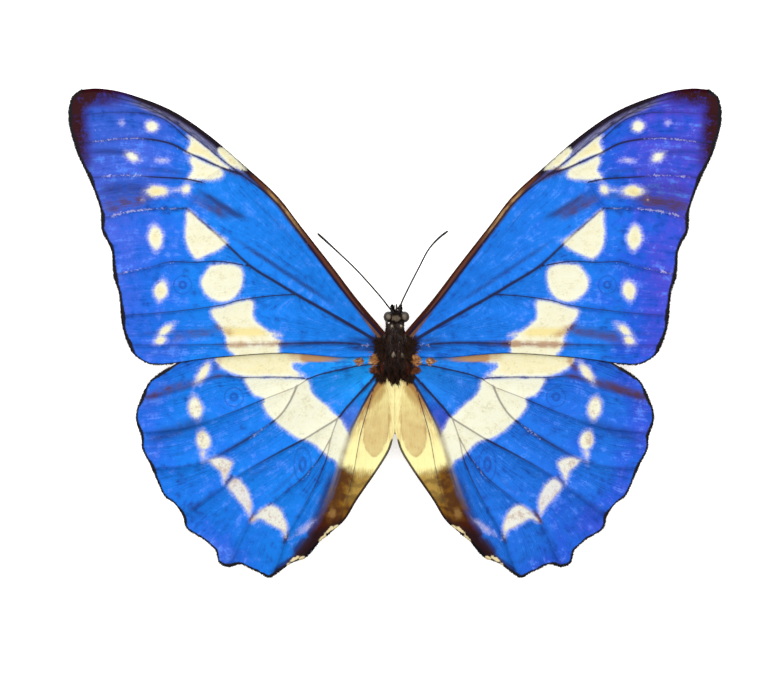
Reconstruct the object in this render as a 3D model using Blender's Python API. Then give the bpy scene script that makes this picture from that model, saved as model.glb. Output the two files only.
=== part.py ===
"""White-banded blue morpho butterfly, life size, standing with its wings spread flat.

Frame: metres, +Z up, origin on the floor under the middle of the spread wings, head towards +Y.
The body lies on X = 0 and the two sides are mirror images, apart from the head and the feelers.
Lengths below are in millimetres and are scaled to metres where the meshes are made.
"""

import math

import bpy
import numpy as np
from mathutils import Matrix, Vector
from mathutils.geometry import delaunay_2d_cdt

MM = 0.001

# ---------------------------------------------------------------- driving dimensions (mm)
WING_THICKNESS = 0.5
WING_ROOT_HEIGHT = 9.3        # height of the spread wings where they leave the thorax
WING_SLOPE = 0.045            # rise of the wings for each millimetre outwards
WING_SAG = 0.00024            # droop towards the tips, times the square of the way out
WING_CAMBER = 0.0006          # fall towards the front and rear edges, times Y squared
FOREWING_LIFT = 0.45          # the forewing's middle surface lies this far above the shared one
HINDWING_DROP = 0.35          # and the hindwing's this far below it
GRID = 3.2                    # spacing of the points inside a wing

HEAD_OFFSET = 0.3             # the head sits a little to the right of the body's middle
JOIN_GAP = 0.1                # space left between neighbouring pieces of the body
BODY_SIDES = 20
LIMB_SIDES = 8

# Outlines of the right wings, (outwards, forwards): runs of a smooth curve between sharp corners.
FOREWING_OUTLINE = {
    "costa": [(1.2, -0.9), (2.6, 0.9), (7.5, 6.7), (12.6, 13.4), (19.0, 21.6), (23.6, 27.5),
              (30.0, 33.4), (37.5, 39.8), (45.0, 44.7), (53.5, 47.9), (59.0, 48.9), (62.6, 48.7)],
    "apex": [(62.6, 48.7), (64.5, 47.1), (65.2, 44.3)],
    "outer": [(65.2, 44.3), (65.0, 41.5), (63.5, 36.3), (60.9, 30.6), (58.8, 24.7), (58.4, 20.5),
              (56.5, 16.5), (56.1, 11.5), (55.0, 7.9), (54.4, 2.0), (53.2, -2.2), (51.6, -4.6),
              (48.5, -6.2), (44.3, -6.1)],
    "rear": [(44.3, -6.1), (35.0, -4.9), (22.0, -4.1), (10.0, -4.95), (1.6, -4.6)],
}
HINDWING_OUTLINE = {
    "costa": [(1.6, -4.2), (10.0, -2.2), (22.0, -1.2), (34.0, -2.2), (38.0, -3.3), (41.0, -4.6),
              (43.2, -5.75), (45.0, -6.85)],
    "outer": [(45.0, -6.85), (46.8, -7.95), (48.9, -9.7), (50.4, -12.4), (51.7, -16.6),
              (50.6, -20.9), (50.4, -23.2), (48.9, -26.3), (47.1, -30.4), (46.0, -32.6),
              (44.1, -34.1), (42.4, -36.6), (41.5, -39.2), (38.3, -41.2), (35.8, -43.4)],
    "tail": [(35.8, -43.4), (35.1, -46.0), (33.3, -46.8), (31.0, -46.2), (28.8, -47.2),
             (27.0, -48.0), (25.4, -49.0), (23.9, -48.3), (20.8, -46.1), (18.0, -45.0),
             (16.2, -43.1), (14.9, -41.6), (13.1, -40.2)],
    "fold": [(13.1, -40.2), (10.0, -37.4), (7.5, -33.3), (3.5, -27.5), (1.1, -23.5),
             (0.2, -20.4)],
    "middle": [(0.2, -20.4), (0.07, -19.0), (0.07, -10.2)],
    "root": [(0.07, -10.2), (1.0, -8.0), (1.6, -4.2)],
}

# Cross-sections from front to rear: (Y, half width, lowest Z, highest Z).
HEAD_SECTIONS = [(4.7, 0.5, 6.9, 8.0), (4.4, 1.05, 6.2, 8.7), (3.8, 1.4, 5.8, 9.3),
                 (2.9, 1.5, 5.8, 9.5), (2.1, 1.35, 6.2, 9.1), (1.75, 0.8, 6.7, 8.5)]
THORAX_SECTIONS = [(2.0, 1.0, 6.6, 8.5), (1.1, 1.8, 5.8, 9.5), (-0.6, 2.4, 4.8, 10.6),
                   (-2.8, 3.0, 4.1, 11.3), (-5.0, 3.3, 3.9, 11.4), (-7.2, 3.2, 4.1, 10.8),
                   (-9.0, 2.6, 4.7, 9.7), (-10.3, 1.4, 5.4, 8.3)]
ABDOMEN_SECTIONS = [(-9.2, 1.1, 5.3, 7.4), (-10.6, 1.8, 4.6, 7.9), (-12.5, 2.1, 4.0, 8.0),
                    (-15.0, 2.1, 3.7, 7.7), (-17.5, 1.8, 3.5, 7.1), (-19.2, 1.3, 3.6, 6.4),
                    (-20.4, 0.6, 4.0, 5.6)]

EYE_CENTRE = (1.6, 3.25, 7.75)       # outwards from the head's middle, Y, Z
EYE_RADII = (1.05, 1.15, 1.45)

# Paths of the round limbs: (outwards, Y, Z, radius).
PALP_PATH = [(0.7, 3.9, 6.4, 0.36), (0.72, 4.9, 6.1, 0.38), (0.75, 5.45, 6.9, 0.34),
             (0.72, 5.5, 7.6, 0.25)]
FORELEG_PATH = [(1.2, -1.6, 5.6, 0.5), (1.35, -0.4, 4.35, 0.42), (1.7, 2.2, 4.6, 0.34),
                (1.75, 2.6, 4.1, 0.3), (1.6, 0.9, 3.3, 0.3), (1.4, -0.8, 3.0, 0.26)]
MIDLEG_PATH = [(1.2, -3.4, 5.0, 0.7), (1.9, -3.0, 3.6, 0.55), (4.6, -1.5, 4.7, 0.48),
               (7.6, 0.2, 5.9, 0.4), (11.2, 4.3, 0.7, 0.3), (11.6, 5.0, 0.2, 0.28),
               (12.2, 6.6, 0.18, 0.27), (13.0, 8.9, 0.18, 0.26)]
HINDLEG_PATH = [(1.2, -6.6, 5.0, 0.7), (2.0, -7.1, 3.7, 0.55), (4.7, -9.2, 4.9, 0.48),
                (7.4, -11.6, 6.1, 0.4), (10.3, -17.4, 0.7, 0.3), (10.5, -18.0, 0.2, 0.28),
                (10.9, -19.9, 0.18, 0.27), (11.4, -22.4, 0.18, 0.26)]
ANTENNA_RADIUS = 0.25
ANTENNA_TIP_RADIUS = 0.3
ANTENNA_PATHS = {
    "left": [(-0.25, 4.0, 8.8), (-1.2, 5.1, 9.4), (-3.1, 7.5, 10.2), (-7.5, 12.4, 11.3),
             (-12.1, 16.8, 11.9), (-15.4, 19.8, 12.1)],
    "right": [(0.85, 4.0, 8.8), (1.2, 5.8, 9.5), (3.1, 10.3, 10.7), (5.1, 14.0, 11.4),
              (8.4, 18.4, 12.0), (10.5, 20.3, 12.1)],
}
PROBOSCIS_RADIUS = 0.23
PROBOSCIS_CENTRE = (4.7, 4.9)        # Y and Z of the coil's middle
PROBOSCIS_TURNS = 1.4
PROBOSCIS_INNER = 0.32
PROBOSCIS_OUTER = 1.15


# ---------------------------------------------------------------- curves and surfaces
def smooth_run(points, steps=4):
    """Catmull-Rom curve through the points, without the last one."""
    pts = [np.array(p, float) for p in points]
    ends = [2 * pts[0] - pts[1]] + pts + [2 * pts[-1] - pts[-2]]
    curve = []
    for a, b, c, d in zip(ends, ends[1:], ends[2:], ends[3:]):
        for i in range(steps):
            t = i / steps
            curve.append(0.5 * (2 * b + (c - a) * t + (2 * a - 5 * b + 4 * c - d) * t ** 2
                                + (3 * b - a - 3 * c + d) * t ** 3))
    return curve


def outline(runs):
    """One closed loop from an outline's runs, each smooth between its sharp ends."""
    return np.array([p for run in runs.values() for p in smooth_run(run, 3)])


def wing_height(x, y):
    """Height of the surface that both wings of a side follow."""
    return WING_ROOT_HEIGHT + WING_SLOPE * abs(x) - WING_SAG * x * x - WING_CAMBER * y * y


def inside(points, loop, margin):
    """Which points lie inside the loop and at least the margin from its corners."""
    x, y = points[:, :1], points[:, 1:]
    ax, ay = loop[:, 0], loop[:, 1]
    bx, by = np.roll(ax, -1), np.roll(ay, -1)
    crosses = (ay > y) != (by > y)
    with np.errstate(divide="ignore", invalid="ignore"):
        left_of = x < ax + (bx - ax) * (y - ay) / (by - ay)
    near = np.hypot(x - ax, y - ay).min(axis=1) < margin
    return ((crosses & left_of).sum(axis=1) % 2 == 1) & ~near


# ---------------------------------------------------------------- objects
def clear_scene():
    for old in list(bpy.data.objects):
        bpy.data.objects.remove(old, do_unlink=True)


def material(name, colour, roughness, metallic=0.0):
    made = bpy.data.materials.new(name)
    made.use_nodes = True
    surface = made.node_tree.nodes["Principled BSDF"]
    surface.inputs["Base Color"].default_value = (*colour, 1.0)
    surface.inputs["Roughness"].default_value = roughness
    surface.inputs["Metallic"].default_value = metallic
    return made


def add_object(name, vertices, faces, surface, is_smooth=True):
    """A closed mesh from millimetre vertices; is_smooth shades it round."""
    mesh = bpy.data.meshes.new(name)
    mesh.from_pydata([tuple(float(c) * MM for c in v) for v in vertices], [], faces)
    mesh.materials.append(surface)
    if is_smooth:
        mesh.shade_smooth()
    made = bpy.data.objects.new(name, mesh)
    bpy.context.scene.collection.objects.link(made)
    return made


def ring_mesh(rings, first_pole, last_pole):
    """Vertices and faces of a tube of rings that closes to a point at both ends."""
    sides = len(rings[0])
    vertices = [v for ring in rings for v in ring] + [first_pole, last_pole]
    first, last = len(vertices) - 2, len(vertices) - 1
    faces = []
    for i in range(sides):
        j = (i + 1) % sides
        faces.append((first, j, i))
        for r in range(len(rings) - 1):
            a, b = r * sides, (r + 1) * sides
            faces.append((a + i, a + j, b + j, b + i))
        end = (len(rings) - 1) * sides
        faces.append((last, end + i, end + j))
    return vertices, faces


def body_loft(name, sections, surface, centre_x=0.0, grow=0.0):
    """A rounded body lofted from front to rear; grow swells it to make a cutter."""
    rings = []
    for y, half_width, low, high in smooth_run(sections, 2) + [np.array(sections[-1])]:
        middle, half_height = (low + high) / 2, (high - low) / 2
        turns = [2 * math.pi * i / BODY_SIDES for i in range(BODY_SIDES)]
        rings.append([(centre_x + (half_width + grow) * math.cos(t), y,
                       middle + (half_height + grow) * math.sin(t)) for t in turns])
    poles = []
    for section, way in ((sections[0], 1), (sections[-1], -1)):
        y, half_width, low, high = section
        poles.append((centre_x, y + way * (0.35 * half_width + grow), (low + high) / 2))
    return add_object(name, *ring_mesh(rings, *poles), surface)


def tube(name, path, surface, side=1, offset=0.0, floor=False, sides=LIMB_SIDES):
    """A round limb along (outwards, Y, Z, radius) points on the right (side 1) or left (side -1).

    offset shifts it to the right, and floor flattens what would pass under Z = 0.
    """
    points = [Vector(p[:3]) for p in path]
    level = Vector((1.0, 0.0, 0.0))
    rings = []
    for i, point in enumerate(points):
        along = (points[min(i + 1, len(points) - 1)] - points[max(i - 1, 0)]).normalized()
        flat = along.cross(Vector((0.0, 0.0, 1.0))).normalized()
        level = flat if i == 0 or flat.dot(level) > 0 else -flat
        across = along.cross(level)
        turns = [2 * math.pi * (k + 0.5) / sides for k in range(sides)]
        rings.append([point + path[i][3] * (math.cos(t) * level + math.sin(t) * across)
                      for t in turns])
    first = points[0] - (points[1] - points[0]).normalized() * path[0][3] * 0.6
    last = points[-1] + (points[-1] - points[-2]).normalized() * path[-1][3] * 0.6
    vertices, faces = ring_mesh(rings, first, last)
    vertices = [(offset + side * v[0], v[1], max(v[2], 0.0) if floor else v[2])
                for v in vertices]
    if side < 0:
        faces = [f[::-1] for f in faces]
    return add_object(name, vertices, faces, surface)


def cut_by(piece, cutter):
    """Trim a piece by the swollen copy of its neighbour."""
    cut = piece.modifiers.new("clear_of_" + cutter.name, "BOOLEAN")
    cut.operation = "DIFFERENCE"
    cut.solver = "EXACT"
    cut.object = cutter


def as_cutter(guide):
    guide.hide_render = True
    guide.display_type = "WIRE"
    return guide


def add_wing(name, runs, level, side, surface):
    """A thin cambered plate with the wing's outline, level millimetres off the shared surface."""
    loop = outline(runs)
    low, high = loop.min(axis=0), loop.max(axis=0)
    rows = np.arange(low[1], high[1], GRID * math.sqrt(3) / 2)
    grid = np.array([(x + GRID / 2 * (r % 2), y) for r, y in enumerate(rows)
                     for x in np.arange(low[0], high[0], GRID)])
    grid = grid[inside(grid, loop, GRID * 0.6)]
    plan = [Vector(p) for p in loop] + [Vector(p) for p in grid]
    edge = [(i, (i + 1) % len(loop)) for i in range(len(loop))]
    flat, _, triangles, *_ = delaunay_2d_cdt(plan, edge, [], 1, 1e-6)
    count = len(flat)
    vertices = []
    for shift in (WING_THICKNESS / 2, -WING_THICKNESS / 2):
        vertices += [(side * p.x, p.y, wing_height(p.x, p.y) + level + shift) for p in flat]
    uses = {}
    for a, b, c in triangles:
        for pair in ((a, b), (b, c), (c, a)):
            uses[pair] = True
    faces = [tuple(t) for t in triangles]
    faces += [(a + count, c + count, b + count) for a, b, c in triangles]
    faces += [(b, a, a + count, b + count) for a, b in uses if (b, a) not in uses]
    if side < 0:
        faces = [f[::-1] for f in faces]
    return add_object(name, vertices, faces, surface, is_smooth=False)


# ---------------------------------------------------------------- the butterfly
def add_head(fur, eye, feeler):
    """Head with its eyes, feelers, palps and coiled proboscis."""
    head = body_loft("head", HEAD_SECTIONS, fur, HEAD_OFFSET)
    head_cutter = as_cutter(body_loft("head_guide", HEAD_SECTIONS, fur, HEAD_OFFSET, JOIN_GAP))
    for name, side in (("left", -1), ("right", 1)):
        centre = Vector((HEAD_OFFSET + side * EYE_CENTRE[0], *EYE_CENTRE[1:]))
        shape = Matrix.Translation(centre * MM) @ Matrix.Diagonal((*EYE_RADII, 1.0))
        ball = add_ball("eye_" + name, shape, eye)
        cut_by(ball, head_cutter)
        palp = tube("palp_" + name, PALP_PATH, fur, side, HEAD_OFFSET)
        cut_by(palp, head_cutter)
        points = smooth_run(ANTENNA_PATHS[name], 4) + [np.array(ANTENNA_PATHS[name][-1])]
        swell = (ANTENNA_TIP_RADIUS - ANTENNA_RADIUS) / (len(points) - 1)
        path = [(*p, ANTENNA_RADIUS + swell * i) for i, p in enumerate(points)]
        cut_by(tube("antenna_" + name, path, feeler, sides=6), head_cutter)
    cut_by(tube("proboscis", proboscis_path(), feeler, sides=6), head_cutter)
    return head


def add_ball(name, shape, surface):
    """A ball of one millimetre radius, stretched and placed by a matrix."""
    steps = 8
    rings = []
    for i in range(1, steps):
        polar = math.pi * i / steps
        turns = [2 * math.pi * k / BODY_SIDES for k in range(BODY_SIDES)]
        rings.append([(math.sin(polar) * math.cos(t), math.sin(polar) * math.sin(t),
                       math.cos(polar)) for t in turns])
    vertices, faces = ring_mesh(rings, (0, 0, 1), (0, 0, -1))
    ball = add_object(name, vertices, [f[::-1] for f in faces], surface)
    ball.data.transform(shape)
    return ball


def proboscis_path():
    """The tongue leaves the mouth, turns down in front and winds in under the head."""
    centre_y, centre_z = PROBOSCIS_CENTRE
    steps = 26
    path = [(HEAD_OFFSET, 4.0, 6.6, PROBOSCIS_RADIUS)]
    for i in range(steps + 1):
        part = i / steps
        reach = PROBOSCIS_OUTER + (PROBOSCIS_INNER - PROBOSCIS_OUTER) * part
        turn = math.radians(100) - 2 * math.pi * PROBOSCIS_TURNS * part
        path.append((HEAD_OFFSET, centre_y + reach * math.cos(turn),
                     centre_z + reach * math.sin(turn), PROBOSCIS_RADIUS * (1 - 0.15 * part)))
    return path


def add_body_and_wings(fur, wing, leg):
    """Thorax, abdomen, the wings and the legs, all trimmed clear of the thorax."""
    thorax = body_loft("thorax", THORAX_SECTIONS, fur)
    cutter = as_cutter(body_loft("thorax_guide", THORAX_SECTIONS, fur, grow=JOIN_GAP))
    cut_by(body_loft("abdomen", ABDOMEN_SECTIONS, fur), cutter)
    for name, side in (("left", -1), ("right", 1)):
        pieces = [
            add_wing("forewing_" + name, FOREWING_OUTLINE, FOREWING_LIFT, side, wing),
            add_wing("hindwing_" + name, HINDWING_OUTLINE, -HINDWING_DROP, side, wing),
            tube("foreleg_" + name, FORELEG_PATH, leg, side),
            tube("midleg_" + name, MIDLEG_PATH, leg, side, floor=True),
            tube("hindleg_" + name, HINDLEG_PATH, leg, side, floor=True),
        ]
        for piece in pieces:
            cut_by(piece, cutter)
    return thorax


clear_scene()
fur_brown = material("fur_brown", (0.03, 0.015, 0.01), 0.9)
eye_brown = material("eye_brown", (0.16, 0.11, 0.08), 0.25)
feeler_dark = material("feeler_dark", (0.02, 0.015, 0.012), 0.5)
wing_blue = material("wing_blue", (0.01, 0.18, 0.8), 0.35, 0.4)
leg_brown = material("leg_brown", (0.06, 0.035, 0.02), 0.6)
head_piece = add_head(fur_brown, eye_brown, feeler_dark)
thorax_piece = add_body_and_wings(fur_brown, wing_blue, leg_brown)
cut_by(head_piece, bpy.data.objects["thorax_guide"])
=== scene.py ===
"""Cream-banded blue morpho butterfly, life size, standing with its wings spread flat.

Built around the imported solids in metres: +Z up, head towards +Y, the body on X = 0.
"""

import math

import bpy
import numpy as np
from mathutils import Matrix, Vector
from mathutils.geometry import delaunay_2d_cdt


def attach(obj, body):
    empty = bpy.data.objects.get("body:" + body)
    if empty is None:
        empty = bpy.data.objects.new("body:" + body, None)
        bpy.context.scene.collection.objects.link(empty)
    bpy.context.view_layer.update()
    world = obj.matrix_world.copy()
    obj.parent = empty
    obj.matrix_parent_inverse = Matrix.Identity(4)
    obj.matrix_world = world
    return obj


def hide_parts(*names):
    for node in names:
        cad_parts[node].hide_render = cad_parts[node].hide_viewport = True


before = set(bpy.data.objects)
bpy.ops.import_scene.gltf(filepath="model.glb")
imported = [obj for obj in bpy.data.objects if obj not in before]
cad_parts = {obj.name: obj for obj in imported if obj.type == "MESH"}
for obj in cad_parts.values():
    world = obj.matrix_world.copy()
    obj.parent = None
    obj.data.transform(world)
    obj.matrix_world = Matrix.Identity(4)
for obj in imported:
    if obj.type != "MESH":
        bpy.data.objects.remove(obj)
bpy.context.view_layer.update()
MM = 0.001

# ------------------------------------------------------------------ ground, light and camera
# The butterfly stands on a faintly glowing white light table. A large soft box hangs over it
# and a weaker one leans in from the front left; the camera looks straight down.


class Wire:
    """A node's output. Arithmetic on it adds Math nodes to its tree."""

    def __init__(self, tree, socket):
        self.tree, self.socket = tree, socket

    def math(self, operation, *others):
        node = self.tree.nodes.new("ShaderNodeMath")
        node.operation = operation
        for slot, value in zip(node.inputs, (self, *others)):
            plug(self.tree, slot, value)
        return Wire(self.tree, node.outputs[0])

    def __add__(self, other):
        return self.math("ADD", other)

    def __sub__(self, other):
        return self.math("SUBTRACT", other)

    def __rsub__(self, other):
        return (self * -1.0).math("ADD", other)

    def __mul__(self, other):
        return self.math("MULTIPLY", other)

    def __abs__(self):
        return self.math("ABSOLUTE")

    __radd__ = __add__
    __rmul__ = __mul__

    def step(self, low, high):
        """Smooth rise from 0 at low to 1 at high."""
        node = self.tree.nodes.new("ShaderNodeMapRange")
        node.interpolation_type = "SMOOTHSTEP"
        for name, value in (("Value", self), ("From Min", low), ("From Max", high)):
            plug(self.tree, node.inputs[name], value)
        return Wire(self.tree, node.outputs["Result"])


def plug(tree, slot, value):
    """Link a wire to an input, or set the input's own value."""
    if isinstance(value, Wire):
        tree.links.new(value.socket, slot)
    elif slot.type == "RGBA" and len(value) == 3:
        slot.default_value = (*value, 1.0)
    else:
        slot.default_value = value


class Tree:
    """A node tree, for a material, the world or Geometry Nodes."""

    def __init__(self, tree):
        self.tree = tree

    def add(self, kind, settings=None, inputs=None, out=0):
        """Add a node: its settings first, then its inputs by identifier, name or place."""
        node = self.tree.nodes.new(kind)
        for name, value in (settings or {}).items():
            setattr(node, name, value)
        for key, value in (inputs or {}).items():
            same = [s for s in node.inputs if s.identifier == key]
            plug(self.tree, same[0] if same else node.inputs[key], value)
        outs = [s for s in node.outputs if s.identifier == out]
        return Wire(self.tree, outs[0] if outs else node.outputs[out])

    def mix(self, factor, first, second):
        return self.add("ShaderNodeMix", {"data_type": "RGBA"},
                        {"Factor_Float": factor, "A_Color": first, "B_Color": second},
                        "Result_Color")

    def noise(self, place, scale, detail, roughness):
        """Noise from 0 to 1, centred on 0.5."""
        return self.add("ShaderNodeTexNoise", {},
                        {"Vector": place, "Scale": scale, "Detail": detail,
                         "Roughness": roughness}, "Fac")

    def attribute(self, name, out="Fac"):
        return self.add("ShaderNodeAttribute", {"attribute_name": name}, out=out)

    def part(self, vector, axis):
        """One coordinate of a vector."""
        return self.add("ShaderNodeSeparateXYZ", {}, {"Vector": vector}, axis)


def new_material(name):
    """A Principled material without its links: its tree and its surface node."""
    made = bpy.data.materials.new(name)
    made.use_nodes = True
    return made, Tree(made.node_tree), made.node_tree.nodes["Principled BSDF"]


def finish_surface(tree, surface, **inputs):
    """Set the Principled inputs; words are joined by underscores."""
    for name, value in inputs.items():
        plug(tree.tree, surface.inputs[name.replace("_", " ")], value)


def object_places(tree):
    """Object coordinates, which are the model's own in metres."""
    return tree.add("ShaderNodeTexCoord", out="Object")


def mesh_object(name, vertices, faces, material):
    """An object at the origin from millimetre vertices."""
    mesh = bpy.data.meshes.new(name)
    mesh.from_pydata((np.asarray(vertices, float) * MM).tolist(), [], faces)
    mesh.materials.append(material)
    mesh.polygons.foreach_set("use_smooth", [True] * len(mesh.polygons))
    made = bpy.data.objects.new(name, mesh)
    bpy.context.scene.collection.objects.link(made)
    return made


CARD_HALF = 600.0
card_material, tree, surface = new_material("white_card")
fibres = tree.noise(object_places(tree), 900.0, 6.0, 0.6)
finish_surface(tree, surface, Base_Color=tree.mix(fibres, (0.94, 0.94, 0.94), (0.97, 0.97, 0.97)),
               Roughness=0.9, Emission_Color=(1.0, 1.0, 1.0), Emission_Strength=0.5,
               Normal=tree.add("ShaderNodeBump", {}, {"Strength": 0.05, "Height": fibres}))
card = mesh_object("white_card", [(x * CARD_HALF, y * CARD_HALF, 0.0) for x, y in
                                  ((-1, -1), (1, -1), (1, 1), (-1, 1))],
                   [(0, 1, 2, 3)], card_material)


def add_soft_box(name, place, size, power, colour):
    """A square lamp at a place in metres, aimed at the butterfly."""
    lamp = bpy.data.lights.new(name, "AREA")
    lamp.size, lamp.energy, lamp.color = size, power, colour
    made = bpy.data.objects.new(name, lamp)
    made.location = place
    made.rotation_euler = (-Vector(place)).to_track_quat("-Z", "Y").to_euler()
    bpy.context.scene.collection.objects.link(made)


add_soft_box("overhead_box", (0.05, 0.1, 0.9), 0.9, 8.2, (1.0, 0.99, 0.97))
add_soft_box("front_left_box", (-0.45, 0.5, 0.45), 0.35, 2.8, (1.0, 0.98, 0.95))

world = bpy.data.worlds.new("studio")
world.use_nodes = True
world.node_tree.nodes["Background"].inputs["Color"].default_value = (0.95, 0.97, 1.0, 1.0)
world.node_tree.nodes["Background"].inputs["Strength"].default_value = 0.42
bpy.context.scene.world = world
bpy.context.scene.view_settings.view_transform = "Standard"

LENS, SENSOR = 150.0, 36.0
VIEW_WIDTH = 156.8                      # millimetres seen across at the wings' height
VIEW_CENTRE = (-0.6, -2.6)
WING_PLANE = 10.0
camera = bpy.data.objects.new("camera", bpy.data.cameras.new("camera"))
camera.data.lens, camera.data.sensor_width = LENS, SENSOR
camera.data.clip_start = 0.01
camera.location = (VIEW_CENTRE[0] * MM, VIEW_CENTRE[1] * MM,
                   (WING_PLANE + VIEW_WIDTH * LENS / SENSOR) * MM)
bpy.context.scene.collection.objects.link(camera)
bpy.context.scene.camera = camera

# ------------------------------------------------------------------ wings
# Four membranes stretched over hollow veins that fan out from the thorax. Overlapping scales
# cover both faces: ridged blue ones above, cream ones in the band and spots, brown ones below.

WING_ROOT_HEIGHT, WING_SLOPE, WING_SAG, WING_CAMBER = 9.3, 0.045, 0.00024, 0.0006
MEMBRANE = 0.16                         # thickness between the veins
WING_GRID = 0.55                        # spacing of the points in a wing
EDGE_ROWS = (0.28, 0.6)                 # insets of the rows of points along its edge
VEIN_RISE, VEIN_ROUNDING = 0.16, 0.3    # height of a vein and half its width at the foot
PLEAT, WAVE, LOBE_RISE = 0.10, 0.10, 0.22   # depth of the relief between the veins
SIDES = (("left", -1), ("right", 1))

# Outlines of the right wings, (outwards, forwards): runs of a smooth curve between corners.
FOREWING_OUTLINE = {
    "costa": [(1.2, -0.9), (2.6, 0.9), (7.5, 6.7), (12.6, 13.4), (19.0, 21.6), (23.6, 27.5),
              (30.0, 33.4), (37.5, 39.8), (45.0, 44.7), (53.5, 47.9), (59.0, 48.9), (62.6, 48.7)],
    "apex": [(62.6, 48.7), (64.5, 47.1), (65.2, 44.3)],
    "outer": [(65.2, 44.3), (65.0, 41.5), (63.5, 36.3), (60.9, 30.6), (58.8, 24.7), (58.4, 20.5),
              (56.5, 16.5), (56.1, 11.5), (55.0, 7.9), (54.4, 2.0), (53.2, -2.2), (51.6, -4.6),
              (48.5, -6.2), (44.3, -6.1)],
    "rear": [(44.3, -6.1), (35.0, -4.9), (22.0, -4.1), (10.0, -4.95), (1.6, -4.6)],
}
HINDWING_OUTLINE = {
    "costa": [(1.6, -4.2), (10.0, -2.2), (22.0, -1.2), (34.0, -2.2), (38.0, -3.3), (41.0, -4.6),
              (43.2, -5.75), (45.0, -6.85)],
    "outer": [(45.0, -6.85), (46.8, -7.95), (48.9, -9.7), (50.4, -12.4), (51.7, -16.6),
              (50.6, -20.9), (50.4, -23.2), (48.9, -26.3), (47.1, -30.4), (46.0, -32.6),
              (44.1, -34.1), (42.4, -36.6), (41.5, -39.2), (38.3, -41.2), (35.8, -43.4)],
    "tail": [(35.8, -43.4), (35.1, -46.0), (33.3, -46.8), (31.0, -46.2), (28.8, -47.2),
             (27.0, -48.0), (25.4, -49.0), (23.9, -48.3), (20.8, -46.1), (18.0, -45.0),
             (16.2, -43.1), (14.9, -41.6), (13.1, -40.2)],
    "fold": [(13.1, -40.2), (10.0, -37.4), (7.5, -33.3), (3.5, -27.5), (1.1, -23.5),
             (0.2, -20.4)],
    "middle": [(0.2, -20.4), (0.0, -19.0), (0.0, -10.2)],
    "root": [(0.0, -10.2), (1.0, -8.0), (1.6, -4.2)],
}

# Veins from root to edge: points, half width, darkness at the root, place in the fan.
FOREWING_VEINS = {
    "radius": ([(2.9, -0.2), (8.6, 6.2), (13.8, 12.9), (20.0, 21.2), (24.6, 26.9), (30.7, 31.7),
                (34.4, 34.5), (38.1, 37.5), (41.6, 40.2), (45.4, 42.9), (50.5, 45.6),
                (57.5, 47.5)], 0.36, 0.9, 0.0),
    "cubitus": ([(3.0, -1.8), (5.0, -0.8), (10.0, 2.2), (15.0, 5.05), (19.1, 7.35), (23.5, 10.0),
                 (28.8, 13.3), (33.9, 18.0), (37.5, 21.3), (41.7, 24.9)], 0.52, 1.0, 3.7),
    "cu2": ([(19.8, 7.7), (25.0, 7.4), (31.3, 6.5), (35.0, 5.5), (45.0, 4.2), (54.5, 3.5)],
            0.24, 0.7, 5.4),
    "cu1": ([(28.8, 13.3), (35.0, 14.3), (40.0, 14.1), (45.0, 14.2), (48.5, 13.2),
             (56.1, 11.6)], 0.24, 0.7, 4.4),
    "m3": ([(41.7, 24.9), (47.4, 24.8), (52.3, 24.4), (58.7, 22.8)], 0.26, 0.7, 3.4),
    "m2": ([(38.6, 30.1), (42.0, 30.8), (49.0, 31.2), (53.5, 31.5), (61.0, 31.0)], 0.28, 0.9,
           2.4),
    "cell_end": ([(34.5, 33.0), (37.4, 31.2), (38.6, 30.1), (39.6, 27.6), (41.7, 24.9)],
                 0.22, 0.3, 3.0),
    "m1": ([(30.7, 31.7), (34.5, 33.0), (41.0, 35.9), (45.0, 37.9), (50.0, 38.8), (55.0, 38.8),
            (64.0, 37.7)], 0.36, 1.0, 1.4),
    "r4": ([(41.5, 38.8), (46.0, 42.6), (51.0, 44.0), (58.0, 44.0), (65.0, 43.2)], 0.24, 0.6,
           0.7),
    "anal": ([(3.0, -3.0), (8.6, -2.1), (15.0, -1.95), (25.0, -2.2), (33.0, -2.3), (43.0, -2.4),
              (53.2, -2.4)], 0.42, 0.55, 6.4),
}
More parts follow.
